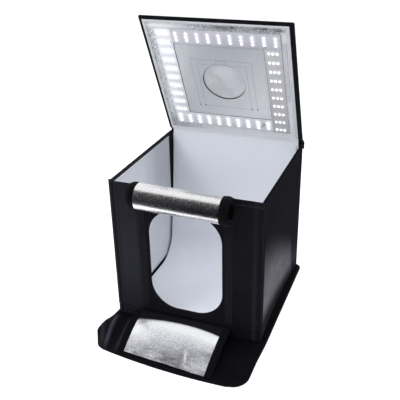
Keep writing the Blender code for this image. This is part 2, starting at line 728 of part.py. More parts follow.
def lamp_layout():
    """The four lamp boards in pinwheel order: name, bounds, and whether it runs along X."""
    outer, inner = LAMP_OUTER, LAMP_INNER
    near_outer, far_outer = LID_MIDDLE - LAMP_REACH, LID_MIDDLE + LAMP_REACH
    near_inner, far_inner = LID_MIDDLE - LAMP_INNER_REACH, LID_MIDDLE + LAMP_INNER_REACH
    seam = GAP / 2
    return (
        ("front", (-inner + seam, outer, far_inner + seam, far_outer), True),
        ("right", (inner + seam, outer, near_outer, far_inner - seam), False),
        ("rear", (-outer, inner - seam, near_outer, near_inner - seam), True),
        ("left", (-outer, -inner - seam, near_inner + seam, far_outer), False),
    )


def chip_centres(bounds, runs_across):
    """The places of the light chips on one lamp board."""
    middle_u = (bounds[0] + bounds[1]) / 2
    middle_v = (bounds[2] + bounds[3]) / 2
    length = bounds[1] - bounds[0] if runs_across else bounds[3] - bounds[2]
    pitch = (length - 2 * CHIP_FROM_END) / (CHIP_ROWS - 1)
    centres = []
    for row in range(CHIP_ROWS):
        step = (row - (CHIP_ROWS - 1) / 2) * pitch
        for chip in range(CHIPS_IN_ROW):
            spread = (chip - (CHIPS_IN_ROW - 1) / 2) * CHIP_SPREAD
            if runs_across:
                centres.append((middle_u + step, middle_v + spread))
            else:
                centres.append((middle_u + spread, middle_v + step))
    return centres


def lamp_boards(panel):
    """The four lamp boards, each with its soldered rows of light chips."""
    board_low = LID_DEPTH + GAP
    board_high = board_low + LAMP_BOARD
    for side, bounds, runs_across in lamp_layout():
        board = slab(f"lamp_board_{side}", "lamp_board", panel, bounds, board_low, board_high, EDGE_SOFTNESS)
        centres = chip_centres(bounds, runs_across)
        sunk = board_high - LAMP_BOARD / 2
        chips = block_cutter(f"chip_guide_{side}", panel, centres, CHIP_SIZE / 2, sunk, board_high + CHIP_HEIGHT)
        union = board.modifiers.new("chips", "BOOLEAN")
        union.operation = "UNION"
        union.object = chips


def lamp_screws(panel):
    """The four small screws that hold the lamp boards at the inner corners of their ring."""
    across = LAMP_INNER + SCREW_FROM_EDGE
    along = LAMP_INNER_REACH + SCREW_FROM_EDGE
    low = LID_DEPTH + GAP + LAMP_BOARD + GAP
    profile = (
        (SCREW_RADIUS, low),
        (SCREW_RADIUS, low + SCREW_HEIGHT / 2),
        (SCREW_RADIUS / 2, low + SCREW_HEIGHT),
    )
    for number, (side_u, side_v) in enumerate(((-1, -1), (1, -1), (1, 1), (-1, 1)), start=1):
        loops = disc_loops(panel, side_u * across, LID_MIDDLE + side_v * along, profile, 12)
        loft(f"lamp_screw_{number}", loops, "steel", panel.frame)


def lead_tape(panel):
    """The pale tape that holds the lamp lead down beside the right lamp board."""
    low = LID_DEPTH + GAP
    left = LAMP_OUTER + LEAD_FROM_BOARD
    start = LID_MIDDLE - LEAD_BELOW_MIDDLE
    bounds = (left, left + LEAD_WIDTH, start, start + LEAD_LENGTH)
    slab("lamp_lead_tape", "pale_tape", panel, bounds, low, low + TAPE_THICKNESS, TAPE_THICKNESS)


def power_inlet(panel):
    """The round low-voltage socket on the lid's outer side, and the pin inside it."""
    across = HALF_WIDTH - INLET_FROM_SIDE
    low = -GAP
    top = low - INLET_HEIGHT
    soft = EDGE_SOFTNESS / 2
    profile = (
        (INLET_RADIUS, low),
        (INLET_RADIUS, low - INLET_FLANGE),
        (INLET_BARREL, low - INLET_FLANGE),
        (INLET_BARREL, top + soft),
        (INLET_BARREL - soft, top),
        (INLET_BORE, top),
        (INLET_BORE, low - INLET_FLANGE / 2),
    )
    loft("inlet_shell", disc_loops(panel, across, INLET_ALONG, profile), "black_plastic", panel.frame)
    pin_low = low - INLET_FLANGE / 2 - GAP
    pin_top = top + soft
    profile = ((INLET_PIN, pin_low), (INLET_PIN, pin_top), (INLET_PIN / 2, pin_top - soft / 2))
    loft("inlet_pin", disc_loops(panel, across, INLET_ALONG, profile, 16), "steel", panel.frame)


def tape_arch(name, panel, low, high):
    """A tape that runs up one side of the port, across its front and down the other side."""
    outer = HATCH_HALF_WIDTH - GAP
    inner = outer - HATCH_TAPE
    near = HATCH_TAPE_START
    far = near + HATCH_TAPE_LENGTH
    outline = (
        (-outer, near), (-inner, near), (-inner, far - HATCH_TAPE), (inner, far - HATCH_TAPE),
        (inner, near), (outer, near), (outer, far), (-outer, far),
    )
    loft(name, [panel.level(outline, low), panel.level(outline, high)], "black_tape", panel.frame)


def hatch(panel):
    """The square hatch over the camera port: cover, board, silver lining and hook tape."""
    bounds = (-HATCH_HALF_WIDTH, HATCH_HALF_WIDTH, GAP, HATCH_LENGTH)
    inside = shrink(bounds, HATCH_RIM + GAP)
    tray("hatch_cover", "black_cloth", panel, bounds, HATCH_DEPTH, HATCH_RIM)
    board_low = SKIN + GAP
    slab("hatch_board", "board", panel, inside, board_low, board_low + HATCH_BOARD)
    slab("hatch_lining", "silver_lining", panel, inside, HATCH_DEPTH - LINING, HATCH_DEPTH)
    tape_low = HATCH_DEPTH + GAP
    tape_arch("hatch_hook_tape", panel, tape_low, tape_low + TAPE_THICKNESS)


def build():
    """Place every fold frame and make the pieces that hang on it."""
    clear_scene()
    right, up, rearward = (1, 0, 0), (0, 0, 1), (0, 1, 0)
    left, forward, down = (-1, 0, 0), (0, -1, 0), (0, 0, -1)

    ground = Panel(fold_frame("mat_frame", (0.0, 0.0, 0.0)), right, rearward, up)
    base_mat(ground)
    foot_bands(ground)
    front_foot_strip(ground)
    floor_pieces(ground)
    backdrop(ground)

    left_fold = fold_frame("left_fold", (-HALF_WIDTH, 0.0, FOOT_Z))
    side_wall("left", Panel(left_fold, rearward, up, right), 0.0)
    right_fold = fold_frame("right_fold", (HALF_WIDTH, 0.0, FOOT_Z))
    side_wall("right", Panel(right_fold, rearward, up, left), FOOT_BOW)

    rear_fold = fold_frame("rear_fold", (0.0, REAR_Y, FOOT_Z))
    rear_panel = Panel(rear_fold, right, up, forward)
    rear_wall(rear_panel)
    lid_hinge_strip(rear_panel)

    front_fold = fold_frame("front_fold", (0.0, FRONT_Y, FRONT_FOLD_Z))
    front_wall(Panel(front_fold, right, up, rearward))
    seam_y = -GAP - SKIN - GAP
    roll_fold = fold_frame("roll_fold", (0.0, seam_y, ROLL_SEAM_Z - FRONT_FOLD_Z), front_fold)
    upper_curtain(roll_fold)

    lower_seam_y = FRONT_Y - GAP - SKIN
    lower_fold = fold_frame("lower_fold", (0.0, lower_seam_y, LOWER_SEAM_Z))
    lower_curtain(lower_fold, lower_seam_y)

    lid_fold = fold_frame("lid_fold", (0.0, 0.0, LID_AXIS_Z - FOOT_Z), rear_fold, -LID_OPEN)
    lid = Panel(lid_fold, right, forward, down)
    lid_panel_pieces(lid)
    lamp_boards(lid)
    lamp_screws(lid)
    lead_tape(lid)
    power_inlet(lid)
    hatch_fold = fold_frame("hatch_fold", (0.0, HATCH_BEHIND_MIDDLE - LID_MIDDLE, HATCH_LIFT), lid_fold)
    loop_side = Panel(hatch_fold, right, forward, up)
    tape_arch("hatch_loop_tape", loop_side, GAP - HATCH_LIFT, GAP + TAPE_THICKNESS - HATCH_LIFT)
    top_fold = fold_frame("hatch_top", (0.0, 0.0, HATCH_DEPTH), hatch_fold)
    hatch(Panel(top_fold, right, forward, down))


build()
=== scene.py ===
"""Looks of the folding light tent cube: cloth, films, lamps, seams, floor, light and camera."""
from math import atan2, cos, exp, hypot, pi, radians, sin, sqrt, tau

import bmesh
import bpy
from mathutils import Matrix, Vector, noise


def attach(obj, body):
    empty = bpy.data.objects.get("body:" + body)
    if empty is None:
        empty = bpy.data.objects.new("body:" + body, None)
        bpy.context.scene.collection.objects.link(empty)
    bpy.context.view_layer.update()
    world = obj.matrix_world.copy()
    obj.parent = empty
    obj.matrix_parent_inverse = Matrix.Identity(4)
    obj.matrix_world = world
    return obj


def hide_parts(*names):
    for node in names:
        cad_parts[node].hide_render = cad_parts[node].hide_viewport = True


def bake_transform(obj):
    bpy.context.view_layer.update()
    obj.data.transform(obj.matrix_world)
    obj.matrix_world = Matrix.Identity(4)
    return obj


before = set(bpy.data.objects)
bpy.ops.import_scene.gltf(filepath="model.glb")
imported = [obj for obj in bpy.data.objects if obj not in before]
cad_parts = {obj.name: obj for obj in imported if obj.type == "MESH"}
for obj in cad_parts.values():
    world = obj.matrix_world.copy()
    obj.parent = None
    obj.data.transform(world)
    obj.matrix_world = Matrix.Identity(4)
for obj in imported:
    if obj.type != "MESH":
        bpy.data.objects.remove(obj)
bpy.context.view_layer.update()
SCENE = bpy.context.scene

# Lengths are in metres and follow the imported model.
HALF_WIDTH, HALF_DEPTH = 0.2, 0.1975
FOOT, WALL, DEPTH = 0.0042, 0.394, 0.0064
FOLD, FRONT_HEIGHT = 0.031, 0.3672
AXIS_Y, AXIS_Z = 0.1975, 0.4051
LID_ANGLE = radians(64.2)
LID_COS, LID_SIN = cos(LID_ANGLE), sin(LID_ANGLE)
LID_MIDDLE = 0.1975
WINDOW = (-0.097, 0.097, 0.023, 0.308)
WINDOW_RADIUS = 0.072
PORT_RADIUS = 0.059
LAMP_OUTER, LAMP_INNER = 0.164, 0.12
CHIP_PITCH, CHIP_SPREAD = 0.0288056, 0.0106
ROLL_Y, ROLL_Z, ROLL_RADIUS = -0.2341, 0.384, 0.0325
ROLL_TILT, ROLL_LEVEL = 0.021, 0.055
HATCH_OUTER, HATCH_INNER, HATCH_NEAR, HATCH_FAR = 0.0822, 0.0667, 0.1105, 0.2705
HATCH_TAPE = 0.00775

# Directions in the model, and the pairs that the yarns of flat cloth run along.
X, Y, Z = (1, 0, 0), (0, 1, 0), (0, 0, 1)
LID_UP = (0, -LID_COS, LID_SIN)
LID_ZERO = -LID_COS * AXIS_Y + LID_SIN * AXIS_Z
FRONT_PLANE, SIDE_PLANE, FLOOR_PLANE, LID_PLANE = (X, Z), (Y, Z), (X, Y), (X, LID_UP)


# Places: each turns (across, along, inward) of one panel into a point of the model.

def on_front(u, v, w):
    return Vector((u, -HALF_DEPTH + w, FOLD + v))


def on_rear(u, v, w):
    return Vector((u, HALF_DEPTH - w, FOOT + v))


def on_left(u, v, w):
    return Vector((-HALF_WIDTH + w, u, FOOT + v))


def on_right(u, v, w):
    across = u / HALF_DEPTH
    bow = 0.008 * max(0, 1 - across * across) * max(0, 1 - v / WALL) ** 2
    return Vector((HALF_WIDTH - w - bow, u, FOOT + v))


def on_ground(u, v, w):
    return Vector((u, v, w))


def on_lid(u, v, w):
    return Vector((u, AXIS_Y - LID_COS * v - LID_SIN * w, AXIS_Z + LID_SIN * v - LID_COS * w))


PLACES = {"base": on_ground, "front_wall": on_front, "rear_wall": on_rear, "left_wall": on_left,
    "right_wall": on_right, "lid": on_lid, "hatch": on_lid}


def wander(u, v, scale, seed):
    """Smooth noise from -1 to 1 over a panel."""
    return noise.noise(Vector((u * scale, v * scale, seed)))


# Outlines. A box is (low u, high u, low v, high v).

def shrink(box, inset):
    return box[0] + inset, box[1] - inset, box[2] + inset, box[3] - inset


def box_path(box):
    low_u, high_u, low_v, high_v = box
    return [(low_u, low_v), (high_u, low_v), (high_u, high_v), (low_u, high_v), (low_u, low_v)]


def round_path(centre, radius, steps=64):
    angles = [tau * step / steps for step in range(steps + 1)]
    return [(centre[0] + radius * cos(angle), centre[1] + radius * sin(angle)) for angle in angles]


def outline_path(box, radius, steps=12):
    """A closed path around a rectangle with round corners."""
    path = []
    for index, (side_u, side_v) in enumerate(((1, 1), (-1, 1), (-1, -1), (1, -1))):
        middle_u = (box[1] if side_u > 0 else box[0]) - side_u * radius
        middle_v = (box[3] if side_v > 0 else box[2]) - side_v * radius
        for step in range(steps + 1):
            turn = (index + step / steps) * pi / 2
            path.append((middle_u + radius * cos(turn), middle_v + radius * sin(turn)))
    return path + [path[0]]


def ray_hit(centre, angle, box, radius):
    """Where a ray from a centre leaves a rectangle with round corners."""
    low_u, high_u, low_v, high_v = box
    run_u, run_v = cos(angle), sin(angle)
    reach = 1e9
    for run, start, low, high in ((run_u, centre[0], low_u, high_u), (run_v, centre[1], low_v, high_v)):
        if abs(run) > 1e-9:
            reach = min(reach, ((high if run > 0 else low) - start) / run)
    hit_u, hit_v = centre[0] + reach * run_u, centre[1] + reach * run_v
    far_u = high_u - radius if hit_u > high_u - radius else low_u + radius
    far_v = high_v - radius if hit_v > high_v - radius else low_v + radius
    in_u = hit_u > high_u - radius or hit_u < low_u + radius
    in_v = hit_v > high_v - radius or hit_v < low_v + radius
    if in_u and in_v and radius > 0:
        off_u, off_v = centre[0] - far_u, centre[1] - far_v
        half = off_u * run_u + off_v * run_v
        rest = off_u * off_u + off_v * off_v - radius * radius
        reach = -half + sqrt(max(half * half - rest, 0))
        hit_u, hit_v = centre[0] + reach * run_u, centre[1] + reach * run_v
    return hit_u, hit_v


def ray_angles(centre, box, radius, count):
    """Even rays, with extra ones through the rounded corners of a box."""
    extra = [atan2(v - centre[1], u - centre[0]) % tau for u, v in outline_path(box, radius, 4)[:-1]]
    even = [tau * step / count for step in range(count)]
    return sorted([angle for angle in even if all(abs(angle - other) > tau / count / 3 for other in extra)] + extra)


def raised(base, *pairs):
    """A border's (inset, w) pairs in metres, from millimetres above a base level in metres."""
    return tuple((inset / 1000, base + w / 1000) for inset, w in pairs)


def panel_loops(box, radius, border, hole=None, hole_radius=0, hole_border=(), relief=None, flat=0, count=150,
        start=0.016, shares=(0.07, 0.15, 0.25, 0.37, 0.5, 0.63, 0.77, 0.9)):
    """Loops from a panel's edge to its middle or its hole. Borders are (inset, w) pairs."""
    low_u, high_u, low_v, high_v = hole or box
    centre = ((low_u + high_u) / 2, (low_v + high_v) / 2)
    angles = ray_angles(centre, box, radius, count)

    def outline(base, inset, round_radius):
        grown = max(round_radius - inset, 0.0004)
        return [ray_hit(centre, angle, shrink(base, inset), grown) for angle in angles]

    def between(first, second, share):
        mixed = [(a[0] + (b[0] - a[0]) * share, a[1] + (b[1] - a[1]) * share) for a, b in zip(first, second)]
        return [(u, v, flat + (relief(u, v) if relief else 0)) for u, v in mixed]

    loops = [[(u, v, w) for u, v in outline(box, inset, radius)] for inset, w in border]
    begin = outline(box, start, radius)
    if hole:
        finish = outline(hole, -start * 0.6, hole_radius)
    else:
        finish = [(centre[0] + (u - centre[0]) * 0.02, centre[1] + (v - centre[1]) * 0.02) for u, v in begin]
    loops += [between(begin, finish, share) for share in shares]
    if not hole:
        return loops + [between(finish, finish, 0)]
    return loops + [[(u, v, w) for u, v in outline(hole, -inset, hole_radius)] for inset, w in hole_border]


# Pieces. A part is the body that a piece rides on, its finish, and the nodes that it stands for.

def add_object(name, data):
    made = bpy.data.objects.new(name, data)
    SCENE.collection.objects.link(made)
    return made


def finish_mesh(name, part, mesh, looks, thickness=0, sharp=50):
    """Turn a bmesh into a piece, thickened inward if asked."""
    data = bpy.data.meshes.new(name)
    mesh.to_mesh(data)
    mesh.free()
    for look in looks:
        data.materials.append(LOOK[look])
    piece = add_object(name, data)
    if thickness:
        solid = piece.modifiers.new("cloth", "SOLIDIFY")
        solid.thickness = thickness
        solid.offset = -1
        solid.use_even_offset = False
        bpy.context.view_layer.update()
        shaped = piece.evaluated_get(bpy.context.evaluated_depsgraph_get())
        piece.data = bpy.data.meshes.new_from_object(shaped)
        piece.modifiers.clear()
        bpy.data.meshes.remove(data)
    if sharp:
        piece.data.shade_smooth()
        piece.data.set_sharp_from_angle(angle=radians(sharp))
    if part:
        body, slot, *nodes = part.split()
        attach(piece, body)
        dress(piece, slot, *nodes)
    return piece


def dress(piece, slot, *nodes):
    """Put a piece in place of the nodes that it stands for, by hiding them."""
    if nodes:
        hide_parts(*nodes)


def face_outward(mesh):
    bmesh.ops.recalc_face_normals(mesh, faces=mesh.faces[:])


def bridge(mesh, rows):
    """Join matching closed rows of corners."""
    return [mesh.faces.new((corner, near[(index + 1) % len(near)], far[(index + 1) % len(near)], far[index]))
        for near, far in zip(rows, rows[1:]) for index, corner in enumerate(near)]


def loops_piece(name, part, loops, look, side=-1, thickness=0, cap=True, ring=False):
    """Join matching loops of (u, v, w). The last loops face inward (side 1) or outward (side -1)."""
    mesh, place = bmesh.new(), PLACES[part.split()[0]]
    rows = [[mesh.verts.new(place(*point)) for point in loop] for loop in loops]
    bridge(mesh, rows + rows[:1] if ring else rows)
    if cap:
        last = loops[-1]
        centre = mesh.verts.new(place(*(sum(point[axis] for point in last) / len(last) for axis in range(3))))
        for index, corner in enumerate(rows[-1]):
            mesh.faces.new((corner, rows[-1][(index + 1) % len(last)], centre))
    mesh.normal_update()
    if ring:
        face_outward(mesh)
    else:
        mesh.faces.ensure_lookup_table()
        u, v, w = loops[-1][0]
        inward = place(u, v, w + 0.001) - place(u, v, w)
        if mesh.faces[-1].normal.dot(inward) * side < 0:
            bmesh.ops.reverse_faces(mesh, faces=mesh.faces[:])
    return finish_mesh(name, part, mesh, [look], thickness)


def grid_piece(name, part, point, steps_u, steps_v, look, side, thickness=0, sharp=50):
    """A sheet from a function of two shares from 0 to 1. Side is a direction that its face looks to."""
    mesh = bmesh.new()
    rows = [[mesh.verts.new(point(col / steps_u, row / steps_v)) for col in range(steps_u + 1)]
        for row in range(steps_v + 1)]
    for near, far in zip(rows, rows[1:]):
        for col in range(steps_u):
            mesh.faces.new((near[col], near[col + 1], far[col + 1], far[col]))
    mesh.normal_update()
    total = sum((face.normal * face.calc_area() for face in mesh.faces), Vector())
    if total.dot(Vector(side)) < 0:
        bmesh.ops.reverse_faces(mesh, faces=mesh.faces[:])
    return finish_mesh(name, part, mesh, [look], thickness, sharp)


def strip_piece(name, part, path, half, low, high, look, soft=0.0005, fuzz=0, place=None):
    """A tape along a path of (u, v) points, mitred at corners, between two levels of w."""
    place = place or PLACES[part.split()[0]]
    points = [Vector(path[0])]
    for near, far in zip(path, path[1:]):
        near, far = Vector(near), Vector(far)
        count = max(1, int((far - near).length / 0.006))
        points += [near.lerp(far, step / count) for step in range(1, count + 1)]
    middle, shoulder = (low + high) / 2, half - soft
    profile = [(-half, middle), (-shoulder, high), (-half * 0.5, high), (0, high), (half * 0.5, high),
        (shoulder, high), (half, middle), (shoulder, low), (-shoulder, low)]
    mesh = bmesh.new()
    rows = []
    for index, spot in enumerate(points):
        before = (spot - points[index - 1]).normalized() if index else None
        after = (points[index + 1] - spot).normalized() if index + 1 < len(points) else None
        run = ((before or after) + (after or before)).normalized()
        stretch = 1 / max(0.4, run.dot(after or before))
        row = []
        for offset, w in profile:
            reach = offset * stretch
            u, v = spot.x - run.y * reach, spot.y + run.x * reach
            if fuzz and w == high:
                w += fuzz * wander(u, v, 420, 3) * (1 if high > low else -1)
            row.append(mesh.verts.new(place(u, v, w)))
        rows.append(row)
    mesh.faces.new(rows[0])
    mesh.faces.new(rows[-1])
    bridge(mesh, rows)
    face_outward(mesh)
    return finish_mesh(name, part, mesh, [look], sharp=40)


def stitches(name, part, paths, w, look, side, pitch=0.0036, length=0.0025, half=0.00033, height=0.0004):
    """Thread dashes along paths of (u, v) points that lie on one face of a panel."""
    mesh, place = bmesh.new(), PLACES[part.split()[0]]
    for path in paths:
        lengths = [(Vector(b) - Vector(a)).length for a, b in zip(path, path[1:])]
        count = max(1, int(sum(lengths) / pitch))
        for index in range(count):
            target = (index + 0.5) * sum(lengths) / count
            leg = 0
            while leg < len(lengths) - 1 and target > lengths[leg]:
                target -= lengths[leg]
                leg += 1
            near, far = Vector(path[leg]), Vector(path[leg + 1])
            u, v = near.lerp(far, target / lengths[leg])
            run = (far - near).normalized() * length / 2
            turn = Vector((-run.y, run.x)).normalized() * half
            ends = [mesh.verts.new(place(u + s * run.x, v + s * run.y, w)) for s in (-1, 1)]
            ring = [mesh.verts.new(place(u + s * turn.x, v + s * turn.y, w + side * rise))
                for s, rise in ((1, 0), (0, height), (-1, 0), (0, -height / 2))]
            for corner in range(4):
                after = ring[(corner + 1) % 4]
                mesh.faces.new((ends[0], ring[corner], after))
                mesh.faces.new((ends[1], after, ring[corner]))
    face_outward(mesh)
    return finish_mesh(name, part, mesh, [look], sharp=80)


# Materials.

LOOK = {}


def scaled(colour, factor):
    return tuple(min(1, part * factor) for part in colour)


class Value:
    """A node's output, which can be added, subtracted and multiplied like a number."""

    def __init__(self, graph, socket):
        self.graph, self.socket = graph, socket

    def __add__(self, other):
        return self.graph.math("ADD", self, other)

    def __sub__(self, other):
        return self.graph.math("SUBTRACT", self, other)

    def __mul__(self, other):
        return self.graph.math("MULTIPLY", self, other)

    def __abs__(self):
        return self.graph.math("ABSOLUTE", self)


class Graph:
    """A short way to write the nodes of a material or a world."""

    def __init__(self, owner, end, shader=None):
        owner.use_nodes = True
        self.owner, self.tree = owner, owner.node_tree
        self.tree.nodes.clear()
        self.output = self.tree.nodes.new(end)
        if shader:
            self.shader = self.tree.nodes.new(shader)
            self.tree.links.new(self.shader.outputs[0], self.output.inputs[0])
            self.place = self.node("ShaderNodeTexCoord", output="Object")

    def node(self, kind, inputs=None, output=0, **settings):
        """Make a node, feed its inputs and give one of its outputs."""
        made = self.tree.nodes.new(kind)
        for key, value in settings.items():
            setattr(made, key, value)
        for key, value in (inputs or {}).items():
            self.feed(made.inputs[key], value)
        return Value(self, made.outputs[output])

    def feed(self, socket, value):
        if isinstance(value, Value):
            self.tree.links.new(value.socket, socket)
        elif socket.type == "RGBA":
            socket.default_value = (*value[:3], 1)
        else:
            socket.default_value = value

    def set(self, **values):
        for key, value in values.items():
            self.feed(self.shader.inputs[key.replace("_", " ")], value)

    def math(self, operation, first, second=0):
        return self.node("ShaderNodeMath", {0: first, 1: second}, operation=operation)

    def most(self, first, *others):
        for other in others:
            first = self.math("MAXIMUM", first, other)
        return first

    def along(self, direction):
        return self.node("ShaderNodeVectorMath", {0: self.place, 1: direction}, "Value", operation="DOT_PRODUCT")

    def stretched(self, *factors):
        """The place with its axes scaled, for a pattern that is long in one direction."""
        return self.node("ShaderNodeVectorMath", {0: self.place, 1: factors}, operation="MULTIPLY")

    def wave(self, direction, pitch):
        return self.math("SINE", self.along(direction) * (tau / pitch))

    def noise(self, scale, detail=3, rough=0.55, distort=0, place=None):
        return self.node("ShaderNodeTexNoise", {"Vector": place or self.place, "Scale": scale, "Detail": detail,
            "Roughness": rough, "Distortion": distort}, "Fac")

    def cells(self, scale, output="Distance", feature="F1"):
        made = self.node("ShaderNodeTexVoronoi", {"Vector": self.place, "Scale": scale}, output, feature=feature)
        if feature == "SMOOTH_F1":
            made.socket.node.inputs["Smoothness"].default_value = 0.35
        return made

    def span(self, value, low, high, to_low=0, to_high=1, kind="LINEAR"):
        """Map a range onto another, held at its ends."""
        return self.node("ShaderNodeMapRange", {"Value": value, "From Min": low, "From Max": high, "To Min": to_low,
            "To Max": to_high}, interpolation_type=kind)

    def ease(self, value, low, high, to_low=0, to_high=1):
        return self.span(value, low, high, to_low, to_high, "SMOOTHSTEP")

    def around(self, value, centre, spread):
        """A broad noise turned into values around a centre."""
        return self.span(value, 0.3, 0.7, centre - spread, centre + spread)

    def bell(self, value, centre, width):
        off = (value - centre) * (1 / width)
        return self.math("EXPONENT", off * off * -1)

    def blend(self, share, first, second):
        return self.node("ShaderNodeMix", {0: share, 6: first, 7: second}, 2, data_type="RGBA")

    def bump(self, height, strength, distance, below=None):
        inputs = {"Height": height, "Strength": strength, "Distance": distance}
        return self.node("ShaderNodeBump", {**inputs, "Normal": below} if below else inputs)


def material(name):
    """Start a material and keep it in LOOK."""
    LOOK[name] = bpy.data.materials.new(name)
    return Graph(LOOK[name], "ShaderNodeOutputMaterial", "ShaderNodeBsdfPrincipled")


def side_painted_sheen(g):
    """A painted sheen on the lower front part of the right wall's cloth: a lighter patch that stands for the glossy
    reflection seen there.
    """
    y, z = g.along(Y), g.along(Z)
    low = g.span(z + (y + 0.18) * 0.1, 0.046, 0.092, 0.09, 1) * g.ease(z, 0.115, 0.315, 1, 0)
    both = g.ease(y + (z - 0.105) * 1.6, -0.005, 0.205, 1, 0) * g.span(y, -0.183, -0.174)
    uneven = g.span(g.noise(26), 0.3, 0.7, 0.82, 1.12)
    strip = g.span(y + z * 0.19, 0.137, 0.143, 1, 0.3)
    return low * both * (uneven * strip)


def lining_shade(g):
    """Painted shade on the side lining: darker towards its rear, and soft upright streaks of painted shade for its
    slack folds.
    """
    folds = g.span(g.noise(9, 2, 0.5, 0, g.stretched(1, 1, 0.12)), 0.35, 0.65, 0, 0.3)
    return (g.ease(g.along(Y), -0.06, 0.12, 0.05, 0.6) + folds) * g.span(g.along(Z), 0.08, 0.3)


def front_painted_light(g):
    """Painted light on the front wall's cloth: a lighter left panel where the key light falls, and painted highlights
    on its left hems, a ridge at its right and its top hem there.
    """
    x, z = g.along(X), g.along(Z)
    wide = g.span(x, -0.19, -0.174) * g.span(x, -0.131, -0.121, 1, 0)
    panel = wide * g.span(g.bell(z, 0.19, 0.14), 0, 1, 0.34, 0.84)
    hem = g.most(g.bell(x, -0.1955, 0.0026) * 0.8, g.bell(x, -0.183, 0.0018) * 0.9)
    ridge = g.bell(x, 0.181, 0.0052) * g.span(z, 0.05, 0.34, 0.6, 0.25)
    top = g.bell(z, 0.386, 0.003) * g.span(x, 0.125, 0.14, 0, 0.5)
    return g.most(panel, hem, ridge, top)


# Each soft fold of the mat's flap: x at the fold line's middle, slope, height and the strength of the painted
# highlight on its crest.
MAT_FOLDS = ((-0.2005, -0.4, 0.0012, 0.45), (-0.1805, -0.24, 0.0032, 1), (-0.144, -0.17, 0.0014, 0.55))
MAT_FOLD_Y = -0.29


def mat_painted_highlight(g):
    """Painted highlights on the crests of the soft folds at the left of the flap."""
    x, y = g.along(X), g.along(Y)
    crests = [g.bell(x - (y - MAT_FOLD_Y) * slope, start, 0.0055) * share for start, slope, _, share in MAT_FOLDS]
    return g.most(*crests) * (g.span(y, -0.222, -0.206, 1, 0) * g.span(y, -0.355, -0.32))


def lid_darker_patches(g):
    """Where the lid's lining is darker, in broken patches: above the lamps at the right, and along its left edge."""
    x, up = g.along(X), g.along(LID_UP) - LID_ZERO
    top = g.bell(up, 0.374, 0.0085) * g.span(x, -0.06, 0.02)
    left = g.bell(x, -0.186, 0.01) * g.span(up, 0.02, 0.12, 0.3, 0.8)
    broken = g.span(g.noise(190, 4, 0.7), 0.42, 0.58, 0.25, 1)
    return g.most(top, left) * broken * g.span(g.noise(26, 2), 0.42, 0.55, 0.25, 1)


def lid_pale(g):
    """Where the lid's lining is paler: its right and lower edges, and its upper left corner."""
    x, up = g.along(X), g.along(LID_UP) - LID_ZERO
    low = g.span(up, 0.0335, 0.03, 0, 0.85) * g.span(x, -0.15, -0.06, 0.3, 1)
    corner = g.bell(up, 0.37, 0.008) * g.ease(x, -0.15, -0.06, 0.85, 0)
    return g.most(g.span(x, 0.1655, 0.169, 0, 0.92), low, corner)


def backdrop_shade(g):
    """Painted shade on the backdrop's middle, which faces the front wall."""
    return g.bell(g.along(Z), 0.265, 0.075) * g.ease(g.along(X), -0.1, 0.16, 0.75, 0.25)


def curtain_lines(g):
    """The lower curtain's x and y, its line that bows with the seam, a slanted fold and a painted highlight along the
    fold.
    """
    x, y = g.along(X), g.along(Y)
    fold = x + (y + 0.31) * 0.3
    return x, y, y + x * x * 1.3, fold, g.bell(fold, 0.0416, 0.0036) * g.bell(y, -0.324, 0.018)


def curtain_painted_highlight(g):
    """Painted highlight on the lower curtain: white along its crest, where it rolls over from its seam, on its left
    side and along its fold.
    """
    x, y, bow, _, painted_glint = curtain_lines(g)
    crest = g.bell(bow, -0.241, 0.025) * g.span(x, -0.13, -0.02, 0.55, 1)
    side = g.bell(x, -0.104, 0.034) * g.bell(y, -0.276, 0.024)
    return g.most(crest, side, painted_glint * 0.8) * g.span(g.noise(90), 0.35, 0.6, 0.8, 1)


def curtain_slope(g):
    """The height that turns the curtain's shading up towards the light where it rises to its seam."""
    x, y = g.along(X), g.along(Y)
    side = g.bell(x, -0.104, 0.03) * g.ease(y, -0.306, -0.254, 0, 0.75)
    return g.most(g.ease(y + x * x * 1.3, -0.29, -0.2), side)


def curtain_shade(g):
    """Painted shade on the lower curtain: its darker, streaked loose end, both sides of its fold, its edge under the
    wall and a patch at its left there.
    """
    x, y, bow, fold, painted_glint = curtain_lines(g)
    streaks = g.noise(44, 4, 0.66, 0.5, g.stretched(0.4, 1.3, 1))
    end = g.ease(y - g.span(x, -0.05, 0.12, -0.004, 0.0216), -0.34, -0.276, 0.88, 0)
    end = end * g.span(painted_glint, 0, 1, 1, 0.3) * g.span(streaks, 0.36, 0.64, 0.3, 1.08)
    crease = g.most(g.bell(fold, 0.054, 0.005) * 0.6, g.bell(fold, 0.0285, 0.0062))
    edge = g.ease(bow, -0.2285, -0.2185, 0, 0.9)
    corner = g.bell(x, -0.104, 0.014) * g.bell(bow, -0.227, 0.009) * 0.65
    return g.math("MINIMUM", g.most(end, crease * g.span(y, -0.318, -0.292, 0.85, 0), edge, corner), 1)


def roll_shade(g):
    """A painted dark reflection across the front of the rolled curtain, darker towards its right end."""
    x, y = g.along(X), g.along(Y)
    height = g.along(Z) - ROLL_Z + (x - ROLL_LEVEL) * ROLL_TILT
    band = g.span(height, -0.0095, -0.004) * g.ease(height, 0.004, 0.026, 1, 0)
    return band * (g.span(y, -0.245, -0.23, 1, 0) * g.span(x, -0.1, 0.07, 0.35, 0.85))


